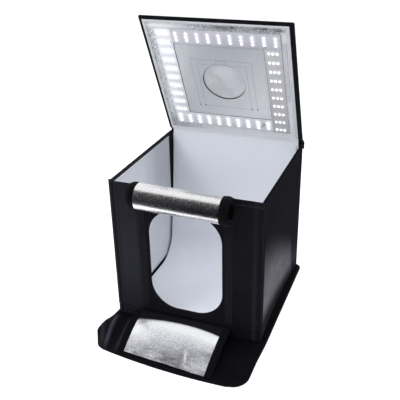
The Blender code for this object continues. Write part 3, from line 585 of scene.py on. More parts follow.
def cloth(name, colour, plane, pitch=0.0009, rough=0.6, wear=0.35, weave=0.25, pucker=0.15, sheen=0.02, specular=0.14,
        painted_shading=None, painted_shading_colour=None):
    """Woven cloth whose yarns run along the two directions of its plane, with painted shading if asked."""
    g = material(name)
    yarn = g.wave(plane[0], pitch) * g.wave(plane[1], pitch)
    broad = g.noise(14, 4)
    dark = scaled(colour, 1 - wear * 0.6)
    tone = g.blend(g.span(broad, 0.3, 0.7), dark, scaled(colour, 1 + wear))
    lint = g.span(g.noise(210, 5, 0.7), 0.62, 0.74, 0, 0.5 * wear)
    tone = g.blend(lint, tone, scaled(colour, 2.2))
    tone = g.blend(g.span(yarn, -1, 1, 0, 0.22), tone, dark)
    # Painted light and shade: the given mask blends the tone towards the given colour.
    if painted_shading:
        tone = g.blend(painted_shading(g), tone, painted_shading_colour)
    soft = g.bump(g.noise(34), pucker, 0.004)
    g.set(Sheen_Weight=sheen, Sheen_Roughness=0.5, Specular_IOR_Level=specular, Base_Color=tone,
        Roughness=g.around(broad, rough, 0.06), Normal=g.bump(yarn + g.noise(900, 2), weave, 0.0003, soft))


def nap(name, colour, scale=1100, height=0.0007):
    """The fuzzy face of loop tape, or the dull face of hook tape."""
    g = material(name)
    tufts = g.cells(scale)
    tone = g.blend(g.span(g.noise(60, 4), 0.35, 0.65), scaled(colour, 0.7), colour)
    tone = g.blend(g.span(tufts, 0, 0.8, 0, 0.6), tone, scaled(colour, 0.45))
    g.set(Sheen_Weight=0.03, Sheen_Roughness=0.6, Specular_IOR_Level=0.06, Base_Color=tone, Roughness=0.92,
        Normal=g.bump(tufts + g.noise(380, 4), 0.5, height))


def film(name, colour, metallic, rough, cell, relief, contrast, wrinkles=0.25, depth=0.0011, patches=0.45, crest=None,
        shade=None, lid=False):
    """Pebbled silver film, with a painted highlight on a crest and painted shade if asked. The lid's has a flatter
    middle.
    """
    g = material(name)
    white = (1, 1, 1)
    grain = g.node("ShaderNodeSeparateColor", {"Color": g.cells(1.7 / cell, "Color")})
    tone = g.blend(g.span(grain, 0.1, 0.9), scaled(colour, 1 - contrast), colour)
    tone = g.blend(g.span(g.noise(22, 4, 0.6, 0.4), 0.42, 0.66, 0, patches), tone, scaled(colour, 0.62))
    height = g.cells(1 / cell, feature="SMOOTH_F1") + g.noise(260) * 0.6
    normal = g.bump(height, relief, depth, g.bump(g.noise(55, 3, 0.5, 0.6), wrinkles, 0.003))
    if lid:
        pale = lid_pale(g)
        # Darker in broken patches above the lamps at the right and along the left edge.
        tone = g.blend(lid_darker_patches(g) * 0.95, g.blend(pale, tone, white), scaled(colour, 0.13))
        metallic = g.span(pale, 0, 1, metallic, 0.1)
        x, up = g.along(X), g.along(LID_UP)
        middle, reach = LID_ZERO + LID_MIDDLE, LAMP_INNER + 0.0005
        inside = g.math("LESS_THAN", g.most(abs(x), abs(up - middle)), reach)
        # Painted shade across the flat middle inside the lamps: white towards the hinge and the right, grey towards
        # the free edge and the left.
        paler = g.blend(g.span(up - x * 0.6, middle - reach, middle + reach), white, (0.64, 0.66, 0.69))
        tone = g.blend(inside * 0.86, tone, paler)
        normal = g.bump(height, g.span(inside, 0, 1, relief * 0.35, 0), 0.0006)
    # Painted highlight: the crest is painted white and made less metallic.
    if crest:
        painted_highlight_share = crest(g)
        tone = g.blend(painted_highlight_share, tone, white)
        metallic = g.span(painted_highlight_share, 0, 0.8, metallic, 0.02)
        normal = g.bump(curtain_slope(g), 1, 0.03, normal)
    # Painted shade, towards a dark grey.
    if shade:
        tone = g.blend(shade(g), tone, (0.14, 0.139, 0.155))
    g.set(Base_Color=tone, Metallic=metallic, Roughness=g.span(grain, 0, 1, rough - 0.08, rough + 0.14),
        Normal=normal)


def plain(name, colour, rough=0.5, metallic=0, vary=0.12, scale=40, relief=0.05):
    """Moulded plastic, metal, thread or board, with a little unevenness."""
    g = material(name)
    broad = g.noise(scale, 5)
    g.set(Base_Color=g.blend(g.span(broad, 0.3, 0.7), scaled(colour, 1 - vary), colour), Metallic=metallic,
        Roughness=g.around(broad, rough, 0.06), Normal=g.bump(g.noise(scale * 14), relief, 0.0005))


def chip_glow(name):
    """The lit window of a light chip."""
    g = material(name)
    g.set(Emission_Color=(1, 0.985, 0.94), Emission_Strength=g.around(g.noise(300), 5, 0.4),
        Base_Color=(0.95, 0.93, 0.8), Roughness=0.3)


def lamp_face(name, along, across, start, painted_glow, tint, reach_out, dots):
    """A lamp board's pale face, with painted light around its rows of light chips, or around each chip, and faint
    painted light all over.
    """
    g = material(name)

    def near(value, pitch):
        """How far a value is from the nearest chip, with half a pitch to spare at either end."""
        return g.math("MODULO", value + pitch * 20.5, pitch) - pitch / 2

    run = near(g.along(along[0]) - (along[1] + start), CHIP_PITCH)
    side = g.along(across[0]) - across[1]
    if dots:
        beyond = g.math("GREATER_THAN", abs(side), CHIP_SPREAD * 1.5)
        reach = abs(near(side, CHIP_SPREAD)) + beyond
    else:
        reach = g.most(abs(side) - CHIP_SPREAD, 0)
    # Painted light: the board gives off light around its chips and faintly all over, though it is no lamp.
    painted_halo = g.math("EXPONENT", (run * run + reach * reach) * (-1 / reach_out ** 2))
    broad = g.noise(70)
    trace = g.math("LESS_THAN", abs(abs(side) - 0.0172), 0.0004)
    tone = g.blend(g.span(broad, 0.3, 0.7), scaled(tint, 0.93), tint)
    g.set(Emission_Color=(0.97, 0.96, 1), Emission_Strength=painted_halo * painted_glow + painted_glow * 0.07,
        Base_Color=g.blend(trace * 0.25, tone, (0.3, 0.3, 0.36)), Roughness=g.around(broad, 0.425, 0.075),
        Normal=g.bump(g.noise(500, 2), 0.05, 0.0003))


BLACK, LID_BLACK = (0.0072, 0.007, 0.01), (0.0037, 0.0035, 0.0054)
# The front wall's black cloth has painted light on its left panel and painted highlights on its hems.
cloth("front_black", BLACK, FRONT_PLANE, rough=0.8, sheen=0, specular=0.09, painted_shading=front_painted_light,
    painted_shading_colour=(0.028, 0.029, 0.0375))
# The right wall's black cloth has a painted sheen on its lower front part.
cloth("side_black", BLACK, SIDE_PLANE, rough=0.9, sheen=0, specular=0.01, painted_shading=side_painted_sheen,
    painted_shading_colour=(0.17, 0.167, 0.187))
cloth("plain_black", BLACK, SIDE_PLANE, specular=0.1)
# The mat's black cloth has painted highlights on the crests of its folds.
cloth("mat_black", (0.0031, 0.003, 0.0046), FLOOR_PLANE, pitch=0.0012, rough=0.66, specular=0.06, sheen=0,
    painted_shading=mat_painted_highlight, painted_shading_colour=(0.042, 0.044, 0.057))
cloth("lid_black", LID_BLACK, LID_PLANE, specular=0.08)
nap("tape_black", (0.0095, 0.0095, 0.012))
nap("loop_black", (0.015, 0.0147, 0.019))
nap("hook_black", (0.003, 0.003, 0.004), 800, 0.0009)
# The side lining's shade tint is the colour of its painted shade.
for label, tint, plane, bumps, painted_shading, shade_tint in (
        ("front", (0.755, 0.775, 0.83), FRONT_PLANE, 0.12, None, None),
        ("side", (0.82, 0.84, 0.885), SIDE_PLANE, 0.3, lining_shade, (0.52, 0.54, 0.59)),
        ("floor", (0.8, 0.815, 0.86), FLOOR_PLANE, 0.12, None, None)):
    cloth(f"{label}_white", tint, plane, 0.0007, 0.62, 0.04, 0.12, bumps, 0.05, 0.4, painted_shading, shade_tint)
# The inner hinge cloth is the hem tape's white cloth, painted lighter to make up for the shade that it sits in.
cloth("hinge_white_painted_lighter", (0.93, 0.94, 0.99), LID_PLANE, 0.0008, 0.6, 0.04, 0.15, 0.2, 0.1, 0.4)
cloth("hem_white", (0.7, 0.72, 0.75), LID_PLANE, 0.0008, 0.6, 0.06, 0.2, 0.3, 0.1, 0.4)
# The backdrop has painted shade across its middle.
cloth("backdrop", (0.84, 0.856, 0.91), FRONT_PLANE, 0.0006, 0.5, 0.02, 0.05, 0.05, 0, 0.4, backdrop_shade,
    (0.72, 0.74, 0.78))
# The rolled curtain's film has a painted dark reflection across its front.
film("film", (0.97, 0.97, 0.98), 0.97, 0.26, 0.0024, 0.3, 0.2, 0.05, 0.00026, 0.1, shade=roll_shade)
# The lower curtain's film has a painted highlight on its crest and painted shade on its loose end and beside its
# fold.
film("flat_film", (0.94, 0.94, 1), 0.44, 0.22, 0.0023, 0.8, 0.4, 0.24, 0.0006, 0.2, curtain_painted_highlight, curtain_shade)
film("lid_film", (0.86, 0.88, 0.92), 0.45, 0.36, 0.0034, 0.9, 0.62, lid=True)
film("hatch_film", (0.92, 0.93, 0.95), 0.3, 0.4, 0.0026, 0.2, 0.12)
plain("thread_dark", (0.05, 0.053, 0.066), 0.7)
plain("thread_black", (0.03, 0.031, 0.036), 0.7)
plain("thread_grey", (0.17, 0.18, 0.21), 0.7)
plain("thread_white", (0.62, 0.65, 0.7), 0.7)
plain("steel", (0.55, 0.55, 0.56), 0.3, 1)
plain("plastic", (0.02, 0.02, 0.022), 0.4)
plain("pale_tape", (0.74, 0.75, 0.78), 0.35, 0, 0.2, 90, 0.3)
plain("board", (0.45, 0.45, 0.45), 0.8)
plain("chip_body", (0.82, 0.82, 0.8), 0.45)
chip_glow("chip_glow")


# The base: mat, hinge tapes, floor and backdrop.

MAT_HALF, MAT_REAR, MAT_FRONT, MAT_TOP = 0.214, 0.208, -0.3747, 0.003


def mat_lift(x, y):
    """The slack left corner of the flap, which stands a little off the floor."""
    near = max(0, 1 - abs(x + MAT_HALF) / 0.075)
    along = max(0, 1 - abs(y + 0.293) / 0.085)
    return 0.011 * near * near * (3 - 2 * near) * along * along * (3 - 2 * along)


def mat_creases(x, y):
    """Three soft folds that run over the flap left of the curtain."""
    start_y, start_x = -0.205, -0.125
    if y > start_y or x > start_x:
        return 0
    rise = sum(height * exp(-((x - start - slope * (y - MAT_FOLD_Y)) / 0.006) ** 2)
        for start, slope, height, _ in MAT_FOLDS)
    fade = min(1, (start_y - y) / 0.03) * min(1, (y + 0.366) / 0.02)
    return rise * max(0, fade) * min(1, (start_x - x) / 0.012)


def mat_sheet():
    def half_width(y, left):
        """The mat's half width at y. The flap's left corner is cut off at a slant."""
        widest = MAT_HALF - (0.52 * max(0, -0.318 - y) if left else 0)
        half = widest
        for edge, radius in ((y - MAT_FRONT, 0.013 if left else 0.045), (MAT_REAR - y, 0.025)):
            if edge < radius:
                half = min(half, widest - radius + sqrt(max(radius * radius - (radius - edge) ** 2, 0)))
        return half

    def point(s, t):
        y = MAT_FRONT + (MAT_REAR - MAT_FRONT) * (t - 0.055 * sin(tau * t))
        across = (s - 0.02 * sin(tau * s)) * 2 - 1
        half = half_width(y, across < 0)
        x = across * half
        edge = min(y - MAT_FRONT, MAT_REAR - y, half - abs(x))
        hem = 0.0007 / (1 + exp((edge - 0.0095) / 0.0006))
        groove = -0.0005 * exp(-((edge - 0.0108) / 0.0012) ** 2)
        lip = -0.0011 * exp(-edge / 0.0012)
        flap = max(0, -HALF_DEPTH - y) / 0.1772
        z = MAT_TOP + mat_lift(x, y) + mat_creases(x, y) + hem + groove + lip
        if flap > 0 and x < 0.13:
            z += 0.0003 * wander(x, y, 30, 1)
        slack = 0.007 * max(0, 1 - abs(y + 0.175) / 0.095) * max(0, -x - 0.13) / 0.084
        slack -= 0.003 * min(1, flap * 2.5) * max(0, x - 0.15) / 0.064
        return Vector((x + slack, y + 0.0147 * flap * ((x - 0.105) / MAT_HALF) ** 2, z))

    piece = grid_piece("mat_cloth", "base black_mat base_mat", point, 96, 124, "mat_black", Z, 0.0026)


def foot_bands():
    for name, path, half in (("left", [(-0.207, -0.168), (-0.207, 0.189)], 0.0052),
            ("right", [(0.207, -0.186), (0.207, 0.189)], 0.0052),
            ("rear", [(-0.198, 0.2025), (0.198, 0.2025)], 0.0045)):
        strip_piece(f"{name}_foot_cloth", f"base black_tape {name}_foot_band", path, half, 0.0031, 0.0038,
            "mat_black", 0.0008)
    strip_piece("front_foot_cloth", "base black_cloth front_foot_strip", [(-0.1985, 0.0135), (0.1985, 0.0135)],
        0.0132, 0.006, 0.0004, "front_black", 0.002, 0.0002, lambda u, v, w: Vector((u, -HALF_DEPTH + w, 0.0037 + v)))


def floor_sheet():
    border = raised(0.0076, (0, -1), (0.3, -0.2), (1, 0), (6, 0), (6.6, -0.3), (7.4, 0))
    loops = panel_loops((-0.184, 0.184, -0.188, 0.188), 0.004, border, flat=0.0076, count=80, shares=(0.1, 0.4, 0.7))
    piece = loops_piece("floor_cloth", "base white_lining floor_lining", loops, "floor_white", 1, 0.0009)


def backdrop_sheet():
    """The backdrop lies flat, bends up in an arc and leans on the rear wall."""
    level, bend, centre_y, front_y = 0.0089, 0.082, 0.064, -0.18
    top_y, top_z, left, width = 0.187, 0.396, -0.187, 0.3705
    turn = pi / 2 - atan2(top_y - centre_y - bend, top_z)
    run_flat, run_bend = centre_y - front_y, bend * turn
    start_y, start_z = centre_y + bend * sin(turn), level + bend * (1 - cos(turn))
    run_rise = hypot(top_y - start_y, top_z - start_z)
    total = run_flat + run_bend + run_rise

    def point(s, t):
        x = left + width * s
        run = t * total
        if run < run_flat:
            y, z = front_y + run, level
        elif run < run_flat + run_bend:
            angle = (run - run_flat) / bend
            y, z = centre_y + bend * sin(angle), level + bend * (1 - cos(angle))
        else:
            share = (run - run_flat - run_bend) / run_rise
            z = start_z + (top_z - start_z) * share
            slack = 0.003 + 0.0006 * wander(x, z, 9, 5)
            y = start_y + (top_y - start_y) * share + slack * sin(pi * share)
        return Vector((x, y, z))

    piece = grid_piece("backdrop_cloth", None, point, 26, 76, "backdrop", (0, -1, 1), 0.0008)
    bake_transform(piece)
    dress(piece, "white_sheet", "backdrop")


# Walls.

EDGE = (*raised(DEPTH, (6.6, -1), (4.5, -0.1), (2.2, 0), (0.9, -0.7), (0.2, -1.9), (0, -3.2)),
    *raised(0, (0.2, 1.9), (0.9, 0.7), (2.2, 0), (6, -0.2), (9.6, -0.2), (10.6, 0.4), (11.6, -0.1), (13.2, -0.2)))
WALL_EDGE = raised(DEPTH, (12.5, -1.2), (10, -0.2), (4.5, 0)) + EDGE[2:]
LINING_EDGE = raised(DEPTH, (5, -0.4), (5.2, 0.3), (6, 0.6), (12, 0.6), (12.8, 0.1), (13.6, 0.5), (15.5, 0.2))
LINING_INSET, SEAM_INSET, CORNER = 0.0038, 0.0106, 0.0032


def pucker(seed, height=0.0006, scale=16):
    """Slack cloth between the seams of a padded panel."""
    def relief(u, v):
        foot = min(1, max(0, v - 0.012) / 0.05)
        return height * foot * (wander(u, v, scale, seed) + 0.5 * wander(u, v, scale * 2.3, seed + 7))
    return relief


def walls():
    side_box = (-0.1908, 0.1908, 0, WALL)
    rear_box = (-HALF_WIDTH, HALF_WIDTH, 0, WALL)
    for side, box, outer, inner, seed in (("left", side_box, "plain_black", "side_white", 1),
            ("right", side_box, "side_black", "side_white", 2),
            ("rear", rear_box, "plain_black", "front_white", 3)):
        name = f"{side}_wall"
        loops = panel_loops(box, CORNER, WALL_EDGE, relief=pucker(seed))
        piece = loops_piece(f"{name}_cloth", f"{name} black_cloth {name}_cover", loops, outer, -1, 0.0007)
        inside = shrink(box, LINING_INSET)
        slack = pucker(seed + 20, 0.0003, 11)

        def relief(u, v, slack=slack, seed=seed):
            return slack(u, v) + 0.001 * wander(u, v * 0.15, 22, seed + 23)

        loops = panel_loops(inside, CORNER, LINING_EDGE, relief=relief, flat=DEPTH, start=0.018)
        piece = loops_piece(f"{name}_liner", f"{name} white_lining {name}_lining", loops, inner, 1, 0.0006)
        inside[1] - inside[0] - 0.01
        inside[3] - inside[2] - 0.01
        stitches(f"{name}_seam", f"{name} black_cloth", [box_path(shrink(box, SEAM_INSET))], -0.0001, "thread_black",
            -1, height=0.0002)
        stitches(f"{name}_inner_seam", f"{name} white_lining", [box_path(shrink(box, 0.0128 + LINING_INSET))],
            DEPTH + 0.0003, "thread_white", 1)
        if side != "rear":
            strip_piece(f"{name}_corner_tape", f"{name} black_tape {side}_corner_strip",
                [(0.1768, 0.006), (0.1768, 0.388)], 0.0132, DEPTH + 0.0006, DEPTH + 0.0017, "tape_black", fuzz=0.0002)
    strip_piece("left_wall_tab", "left_wall black_cloth", [(-0.1895, 0.3922), (-0.185, 0.3922)], 0.0017, -0.0002,
        -0.0038, "plain_black", 0.0004)
    strip_piece("backdrop_tape", "rear_wall pale_tape backdrop_loop_strip", [(-0.16, 0.378), (0.16, 0.378)], 0.01,
        DEPTH + 0.0006, DEPTH + 0.0015, "pale_tape", fuzz=0.0001)


def front_wall():
    box = (-HALF_WIDTH, HALF_WIDTH, 0, FRONT_HEIGHT)
    rim = (*raised(0, (10, 0), (8.8, 0), (7.8, 0.5), (6.8, 0), (5, -0.3), (2, -0.2), (0.7, 0.6), (0.1, 1.8)),
        (0, DEPTH / 2), *raised(DEPTH, (0.1, -1.8), (0.7, -0.6), (2, 0), (4.5, -0.1), (6.6, -1)))

    def relief(u, v):
        slack = 0.0009 if abs(u) > 0.127 else 0.0004
        return slack * (wander(u * 1.6, v, 14, 9) + 0.5 * wander(u, v, 34, 11))

    loops = panel_loops(box, CORNER, EDGE, WINDOW, WINDOW_RADIUS, rim, relief, count=190,
        shares=(0.06, 0.16, 0.28, 0.42, 0.56, 0.7, 0.84, 0.95))
    piece = loops_piece("front_wall_cloth", "front_wall black_cloth front_wall_cover", loops, "front_black", 1,
        0.0007, cap=False)
    inner = raised(DEPTH, (11, 0.2), (9.5, 0.5), (6, 0.6), (5.2, 0.3), (5, -0.4))
    loops = panel_loops(box, CORNER, LINING_EDGE, WINDOW, WINDOW_RADIUS, inner, None, DEPTH, 150, 0.018,
        (0.2, 0.5, 0.8))
    piece = loops_piece("front_wall_liner", "front_wall white_lining front_wall_lining", loops, "front_white", 1,
        0.0006, cap=False)
    away = 0.0078
    window_seam = outline_path(shrink(WINDOW, -away), WINDOW_RADIUS + away)
    stitches("front_wall_seam", "front_wall black_cloth", [box_path(shrink(box, SEAM_INSET)), window_seam], 0.0001,
        "thread_black", -1)
    for centre, name in ((-0.115, "left"), (0.115, "right")):
        strip_piece(f"loop_tape_{name}", f"front_wall black_tape front_loop_{name}",
            [(centre, 0.013), (centre, 0.347)], 0.01, -0.0002, -0.0009, "loop_black", 0.0006, 0.0002)
        lines = [[(centre + off, 0.015), (centre + off, 0.345)] for off in (-0.0088, 0.0088)]
        stitches(f"loop_seam_{name}", "front_wall black_tape", lines, -0.0009, "thread_black", -1, height=0.0002)
    strip_piece("curtain_header", "front_wall black_tape upper_curtain_header", [(-0.122, 0.3595), (0.13, 0.3595)],
        0.0065, -0.0002, -0.0014, "tape_black", 0.0006, 0.0001)


# The two window curtains.

def roll_line(turns, tighten, swell=0):
    """The rolled curtain's line of (y, z), from its seam once around and on inward."""
    start = radians(50)
    join_y = ROLL_Y + (ROLL_RADIUS + swell) * cos(start)
    join_z = ROLL_Z + (ROLL_RADIUS + swell) * sin(start)
    seam_y, seam_z = -0.2003, 0.389
    bend_z = join_z - (seam_y - join_y) / sin(start) * cos(start)
    line = []
    for step in range(8):
        share = step / 8
        keep, mix, take = (1 - share) ** 2, 2 * share * (1 - share), share ** 2
        line.append((seam_y * (keep + mix) + join_y * take, seam_z * keep + bend_z * mix + join_z * take))
    count = int(44 * turns)
    for step in range(count + 1):
        turn = turns * step / count
        angle = start + tau * turn
        radius = ROLL_RADIUS + swell - tighten * turn
        sag = 1 + 0.012 * sin(angle * 2 + 0.6)
        line.append((ROLL_Y + radius * sag * cos(angle), ROLL_Z + radius * sin(angle)))
    return line


def on_line(line, t):
    """The point at a share of a line's steps, and the step that it is in."""
    spot = t * (len(line) - 1)
    index = min(int(spot), len(line) - 2)
    part = spot - index
    (near_y, near_z), (far_y, far_z) = line[index], line[index + 1]
    return near_y * (1 - part) + far_y * part, near_z * (1 - part) + far_z * part, index


def upper_curtain():
    line, hook_line = roll_line(1.5, 0.004), roll_line(2.6, 0.0052, 0.0006)
    left, width = -0.0992, 0.2124

    def point(s, t):
        y, z, _ = on_line(line, t)
        x = left + width * s
        ripple = 0.0005 * wander(x, t * 0.25, 26, 14)
        return Vector((x, y + ripple, z + ripple * 0.6 - ROLL_TILT * (x - ROLL_LEVEL)))

    piece = grid_piece("upper_curtain_cloth", "upper_roll silver_film upper_curtain_film", point, 44, len(line) - 1,
        "film", (0, 0, 0), 0.0011, 60)
    length = sum(hypot(b[0] - a[0], b[1] - a[1]) for a, b in zip(line, line[1:]))
    for side, name, near in ((-1, "left", -0.0986), (1, "right", 0.1126)):
        def hook(s, t, near=near, side=side):
            y, z, index = on_line(hook_line, t)
            puff = 0.0012 * sin(pi * min(1, s * 1.05)) - 0.0022 * max(0, s - 0.72) / 0.28
            wrap = 1 + puff / ROLL_RADIUS * (index > 7)
            drift = 0.0003 * wander(y, z, 30, 17 + side) * s
            x = near + side * (0.0206 * s + drift)
            tilt = ROLL_TILT * (x - ROLL_LEVEL)
            return Vector((x, ROLL_Y + (y - ROLL_Y) * wrap, ROLL_Z + (z - ROLL_Z) * wrap - tilt))

        grid_piece(f"upper_hook_tape_{name}", f"upper_roll black_tape upper_hook_{name}", hook, 7, len(hook_line) - 1,
            "hook_black", (0, 0, 0), 0.0019, 60)


def lower_sheet(low, high, lift, sink=0):
    """The lower curtain's shape between two values of x, from its seam to its loose end."""
    def point(s, t):
        x = low + (high - low) * s
        y, z = -0.1993 - 0.1532 * t, 0.029 - 0.0291 * t * t + 0.0044 * t ** 3
        y -= 0.019 * t * t * x / 0.2156
        fold = 0.0042 * exp(-((x - 0.0416 + 0.3 * (y + 0.31)) / 0.0065) ** 2)
        fold += 0.0022 * exp(-((x - 0.055 + 0.2 * (y + 0.31)) / 0.008) ** 2)
        fold += 0.0022 * exp(-((x + 0.055 - 0.25 * (y + 0.33)) / 0.012) ** 2)
        fold *= max(0, min(1, (-0.265 - y) / 0.05)) * min(1, (1 - t) / 0.16 + 0.12)
        ripple = 0.0012 * (wander(x, y, 30, 21) + 0.5 * wander(x, y, 66, 23) + 0.75) * min(1, t * 1.6)
        middle = max(0, 1 - (x / 0.125) ** 2)
        belly = 0.003 * middle * sin(pi * min(1, t * 1.15)) ** 2
        level = lift * min(1, t / 0.08) - sink * min(1, max(0, (0.32 - t) / 0.08))
        spread = -0.007 * (1 - t) * max(0, -x / 0.111)
        return Vector((x + spread - 0.0085 + 0.006 * t, y, z + level + fold + max(0, ripple) + belly))
    return point


def lower_curtain():
    half = 0.1112
    piece = grid_piece("lower_curtain_cloth", "lower_curtain silver_film lower_curtain_film",
        lower_sheet(-half, half, 0.0003, 0.0006), 90, 60, "flat_film", Z, 0.001)
    for name, low, high in (("left", -0.129, -0.1104), ("right", 0.1104, 0.129)):
        grid_piece(f"lower_hook_tape_{name}", f"lower_curtain black_tape lower_hook_{name}",
            lower_sheet(low, high, 0.0006), 6, 44, "hook_black", Z, 0.0015)
    over = lower_sheet(-half, half, 0.0005)

    def seam(s, t):
        return over(s, 0.004 + (0.142 + 0.096 * (2 * s - 1) ** 2) * t)

    grid_piece("lower_seam_cloth", "lower_curtain black_cloth", seam, 60, 20, "plain_black", Z, 0.0004)


# The lid.

LID_BOX = (-HALF_WIDTH, HALF_WIDTH, 0.0015, 0.395)
LID_CENTRE, LID_CORNER = (0, LID_MIDDLE), 0.0034
LID_EDGE = raised(DEPTH, (15, -1.2), (12.8, -0.2), (4.5, 0)) + EDGE[2:]
HEM_BOX = (-0.1918, 0.1878, 0.0046, 0.386)
PORT = (-PORT_RADIUS, PORT_RADIUS, LID_MIDDLE - PORT_RADIUS, LID_MIDDLE + PORT_RADIUS)
PORT_CORNER = PORT_RADIUS - 1e-5


def lid_shell():
    port_rim = raised(0, (8, 0), (6.6, 0.4), (5.2, 0), (1.2, 0), (0.3, 0.6), (0, 1.6), (0, 3), (0.8, 4))
    loops = panel_loops(LID_BOX, LID_CORNER, LID_EDGE, PORT, PORT_CORNER, port_rim, pucker(31, 0.0005), count=170)
    piece = loops_piece("lid_cloth", "lid black_cloth lid_cover", loops, "lid_black", 1, 0.0007, cap=False)
    stitches("lid_seam", "lid black_cloth", [box_path(shrink(LID_BOX, SEAM_INSET)), round_path(LID_CENTRE, 0.0656)],
        0.0001, "thread_black", -1)

    hem_profile = raised(DEPTH, (0, -1.2), (0.2, 0.2), (1, 0.6), (4, 0.7), (6.6, 0.6), (7.4, 0.1), (7.2, -1.2))
    angles = ray_angles(LID_CENTRE, HEM_BOX, LID_CORNER, 150)
    loops = []
    for inset, w in hem_profile:
        points = [ray_hit(LID_CENTRE, angle, shrink(HEM_BOX, inset), 0.0006) for angle in angles]
        loops.append([(u, v, w + 0.0003 * wander(u, v, 90, 33)) for u, v in points])
    loops_piece("lid_hem_tape", "lid white_lining", loops, "hem_white", 1, cap=False, ring=True)

    border = raised(DEPTH, (13.2, -0.8), (13.4, 0), (15, 0.1), (19, -0.2))
    port_border = raised(DEPTH, (10, -0.1), (5, 0), (0.4, 0), (0.1, -0.3), (0, -0.8), (0.2, -1.2), (1, -1.4))
    loops = panel_loops(LID_BOX, LID_CORNER, border, PORT, PORT_CORNER, port_border, pucker(35, 0.00025, 26),
        DEPTH - 0.0001, 170, 0.021)
    piece = loops_piece("lid_liner", "lid silver_lining lid_lining", loops, "lid_film", -1, 0.0005, cap=False)
    inner_seam = [box_path(shrink(HEM_BOX, 0.006)), box_path(shrink(HEM_BOX, 0.0105))]
    inner_seam += [[(u, 0.02), (u, 0.375)] for u in (0.17, 0.1745, 0.179)]
    stitches("lid_inner_seam", "lid white_lining", inner_seam, DEPTH + 0.0006, "thread_grey", 1, half=0.0003)
    # A thin dark strip along the lamp ring's inner edge: a painted shadow for the gap there.
    ring = shrink((-LAMP_INNER, LAMP_INNER, LID_MIDDLE - LAMP_INNER, LID_MIDDLE + LAMP_INNER), 0.0006)
    strip_piece("lamp_ring_painted_shadow", "lid silver_lining", box_path(ring), 0.00045, DEPTH, DEPTH + 0.0006,
        "thread_dark", 0.0001)
    ring_seam = [[(0.113, 0.079), (0.113, 0.316)], [(-0.116, 0.3125), (0.113, 0.3125)]]
    stitches("lamp_ring_seam", "lid silver_lining", ring_seam, DEPTH + 0.0001, "thread_grey", 1, half=0.0003)


def arch(half, far, near=HATCH_NEAR):
    """A path along both sides of the hatch and across its far end."""
    return [(-half, near), (-half, far), (half, far), (half, near)]


def hatch_stitching():
    """The thread of the hatch's tape, which shows through on the lining as two nested arches."""
    w = DEPTH + 0.0001
    turn = HATCH_FAR - 0.0155
    paths = [arch(HATCH_OUTER, HATCH_FAR), arch(HATCH_INNER, turn),
        [(-HATCH_INNER, HATCH_NEAR), (HATCH_INNER, HATCH_NEAR)], arch(0.013, HATCH_FAR - 0.002, turn)]
    stitches("hatch_seam", "lid silver_lining", paths, w, "thread_dark", 1, 0.0028, 0.0024, 0.00042, 0.00035)
    tacks = [[(side * place, HATCH_NEAR - 0.0022), (side * place, HATCH_NEAR + 0.0024)] for side in (-1, 1)
        for place in (HATCH_OUTER, HATCH_INNER)]
    stitches("hatch_tacks", "lid silver_lining", tacks, w, "thread_black", 1, 0.0056, 0.0056, 0.0022, 0.0018)


def add_chip(mesh, u, v, base):
    """One light chip: a square package with a round lit window."""
    half, window, top, sides = 0.0027, 0.0024, base + 0.0012, 16
    rows = []
    for reach, w, is_round in ((half, base - 0.0002, False), (half, top - 0.0002, False),
            (half - 0.0002, top, False), (window, top, True)):
        row = []
        for step in range(sides):
            angle = tau * (step + 0.5) / sides
            away = reach if is_round else reach / max(abs(cos(angle)), abs(sin(angle)))
            row.append(mesh.verts.new(on_lid(u + away * cos(angle), v + away * sin(angle), w)))
        rows.append(row)
    for face in bridge(mesh, rows) + [mesh.faces.new(rows[0])]:
        face.material_index = 1
    mesh.faces.new(rows[-1]).material_index = 2


def lamp_boards():
    """Four boards around the middle, each with ten rows of three chips."""
    gap, middle = 0.0002, LID_MIDDLE
    low, high = DEPTH + 0.0003, DEPTH + 0.0017
    outer, near, far = LAMP_OUTER, LAMP_INNER - gap, LAMP_INNER + gap
    # Each board: name, outline, whether its rows lie across the lid, the strength of its painted light, its tint, and
    # how far its painted light reaches. The tints are painted lighter on the left and lower boards and darker on the
    # right and upper ones, for how light falls on them.
    for name, box, lies_across, painted_glow, tint, reach_out in (
            ("front", (-near, outer, middle + far, middle + outer), True, 0.55, (0.62, 0.61, 0.68), 0.0047),
            ("right", (far, outer, middle - outer, middle + near), False, 0.65, (0.58, 0.57, 0.585), 0.0046),
            ("rear", (-outer, near, middle - outer, middle - far), True, 0.7, (0.83, 0.83, 0.88), 0.0056),
            ("left", (-outer, -far, middle - near, middle + outer), False, 0.6, (0.9, 0.9, 0.94), 0.007)):
        middle_u, middle_v = (box[0] + box[1]) / 2, (box[2] + box[3]) / 2
        first = (middle_u if lies_across else middle_v) - 4.5 * CHIP_PITCH
        along = (X, 0) if lies_across else (LID_UP, LID_ZERO)
        across = (LID_UP, LID_ZERO + middle_v) if lies_across else (X, middle_u)
        lamp_face(f"lamp_face_{name}", along, across, first, painted_glow, tint, reach_out, name == "right")
        mesh = bmesh.new()
        rows = [[mesh.verts.new(on_lid(u, v, w)) for u, v in outline_path(shrink(box, inset), 0.0014, 4)[:-1]]
            for inset, w in ((0, low), (0, high - 0.0003), (0.0004, high))]
        mesh.faces.new(rows[0])
        mesh.faces.new(rows[-1])
        bridge(mesh, rows)
        for run in range(10):
            for side in range(3):
                off = ((run - 4.5) * CHIP_PITCH, (side - 1) * CHIP_SPREAD)
                off_u, off_v = off if lies_across else reversed(off)
                add_chip(mesh, middle_u + off_u, middle_v + off_v, high)
        face_outward(mesh)
        finish_mesh(f"lamp_strip_{name}", f"lid lamp_board lamp_board_{name}", mesh,
            [f"lamp_face_{name}", "chip_body", "chip_glow"], sharp=35)
    curl = [(0.0915, 0.064), (0.095, 0.062), (0.0975, 0.0585), (0.094, 0.0545), (0.0895, 0.053), (0.088, 0.048)]
    strip_piece("lamp_lead_wire", "lid lamp_board", curl, 0.0008, high, high + 0.001, "thread_dark", 0.0003)


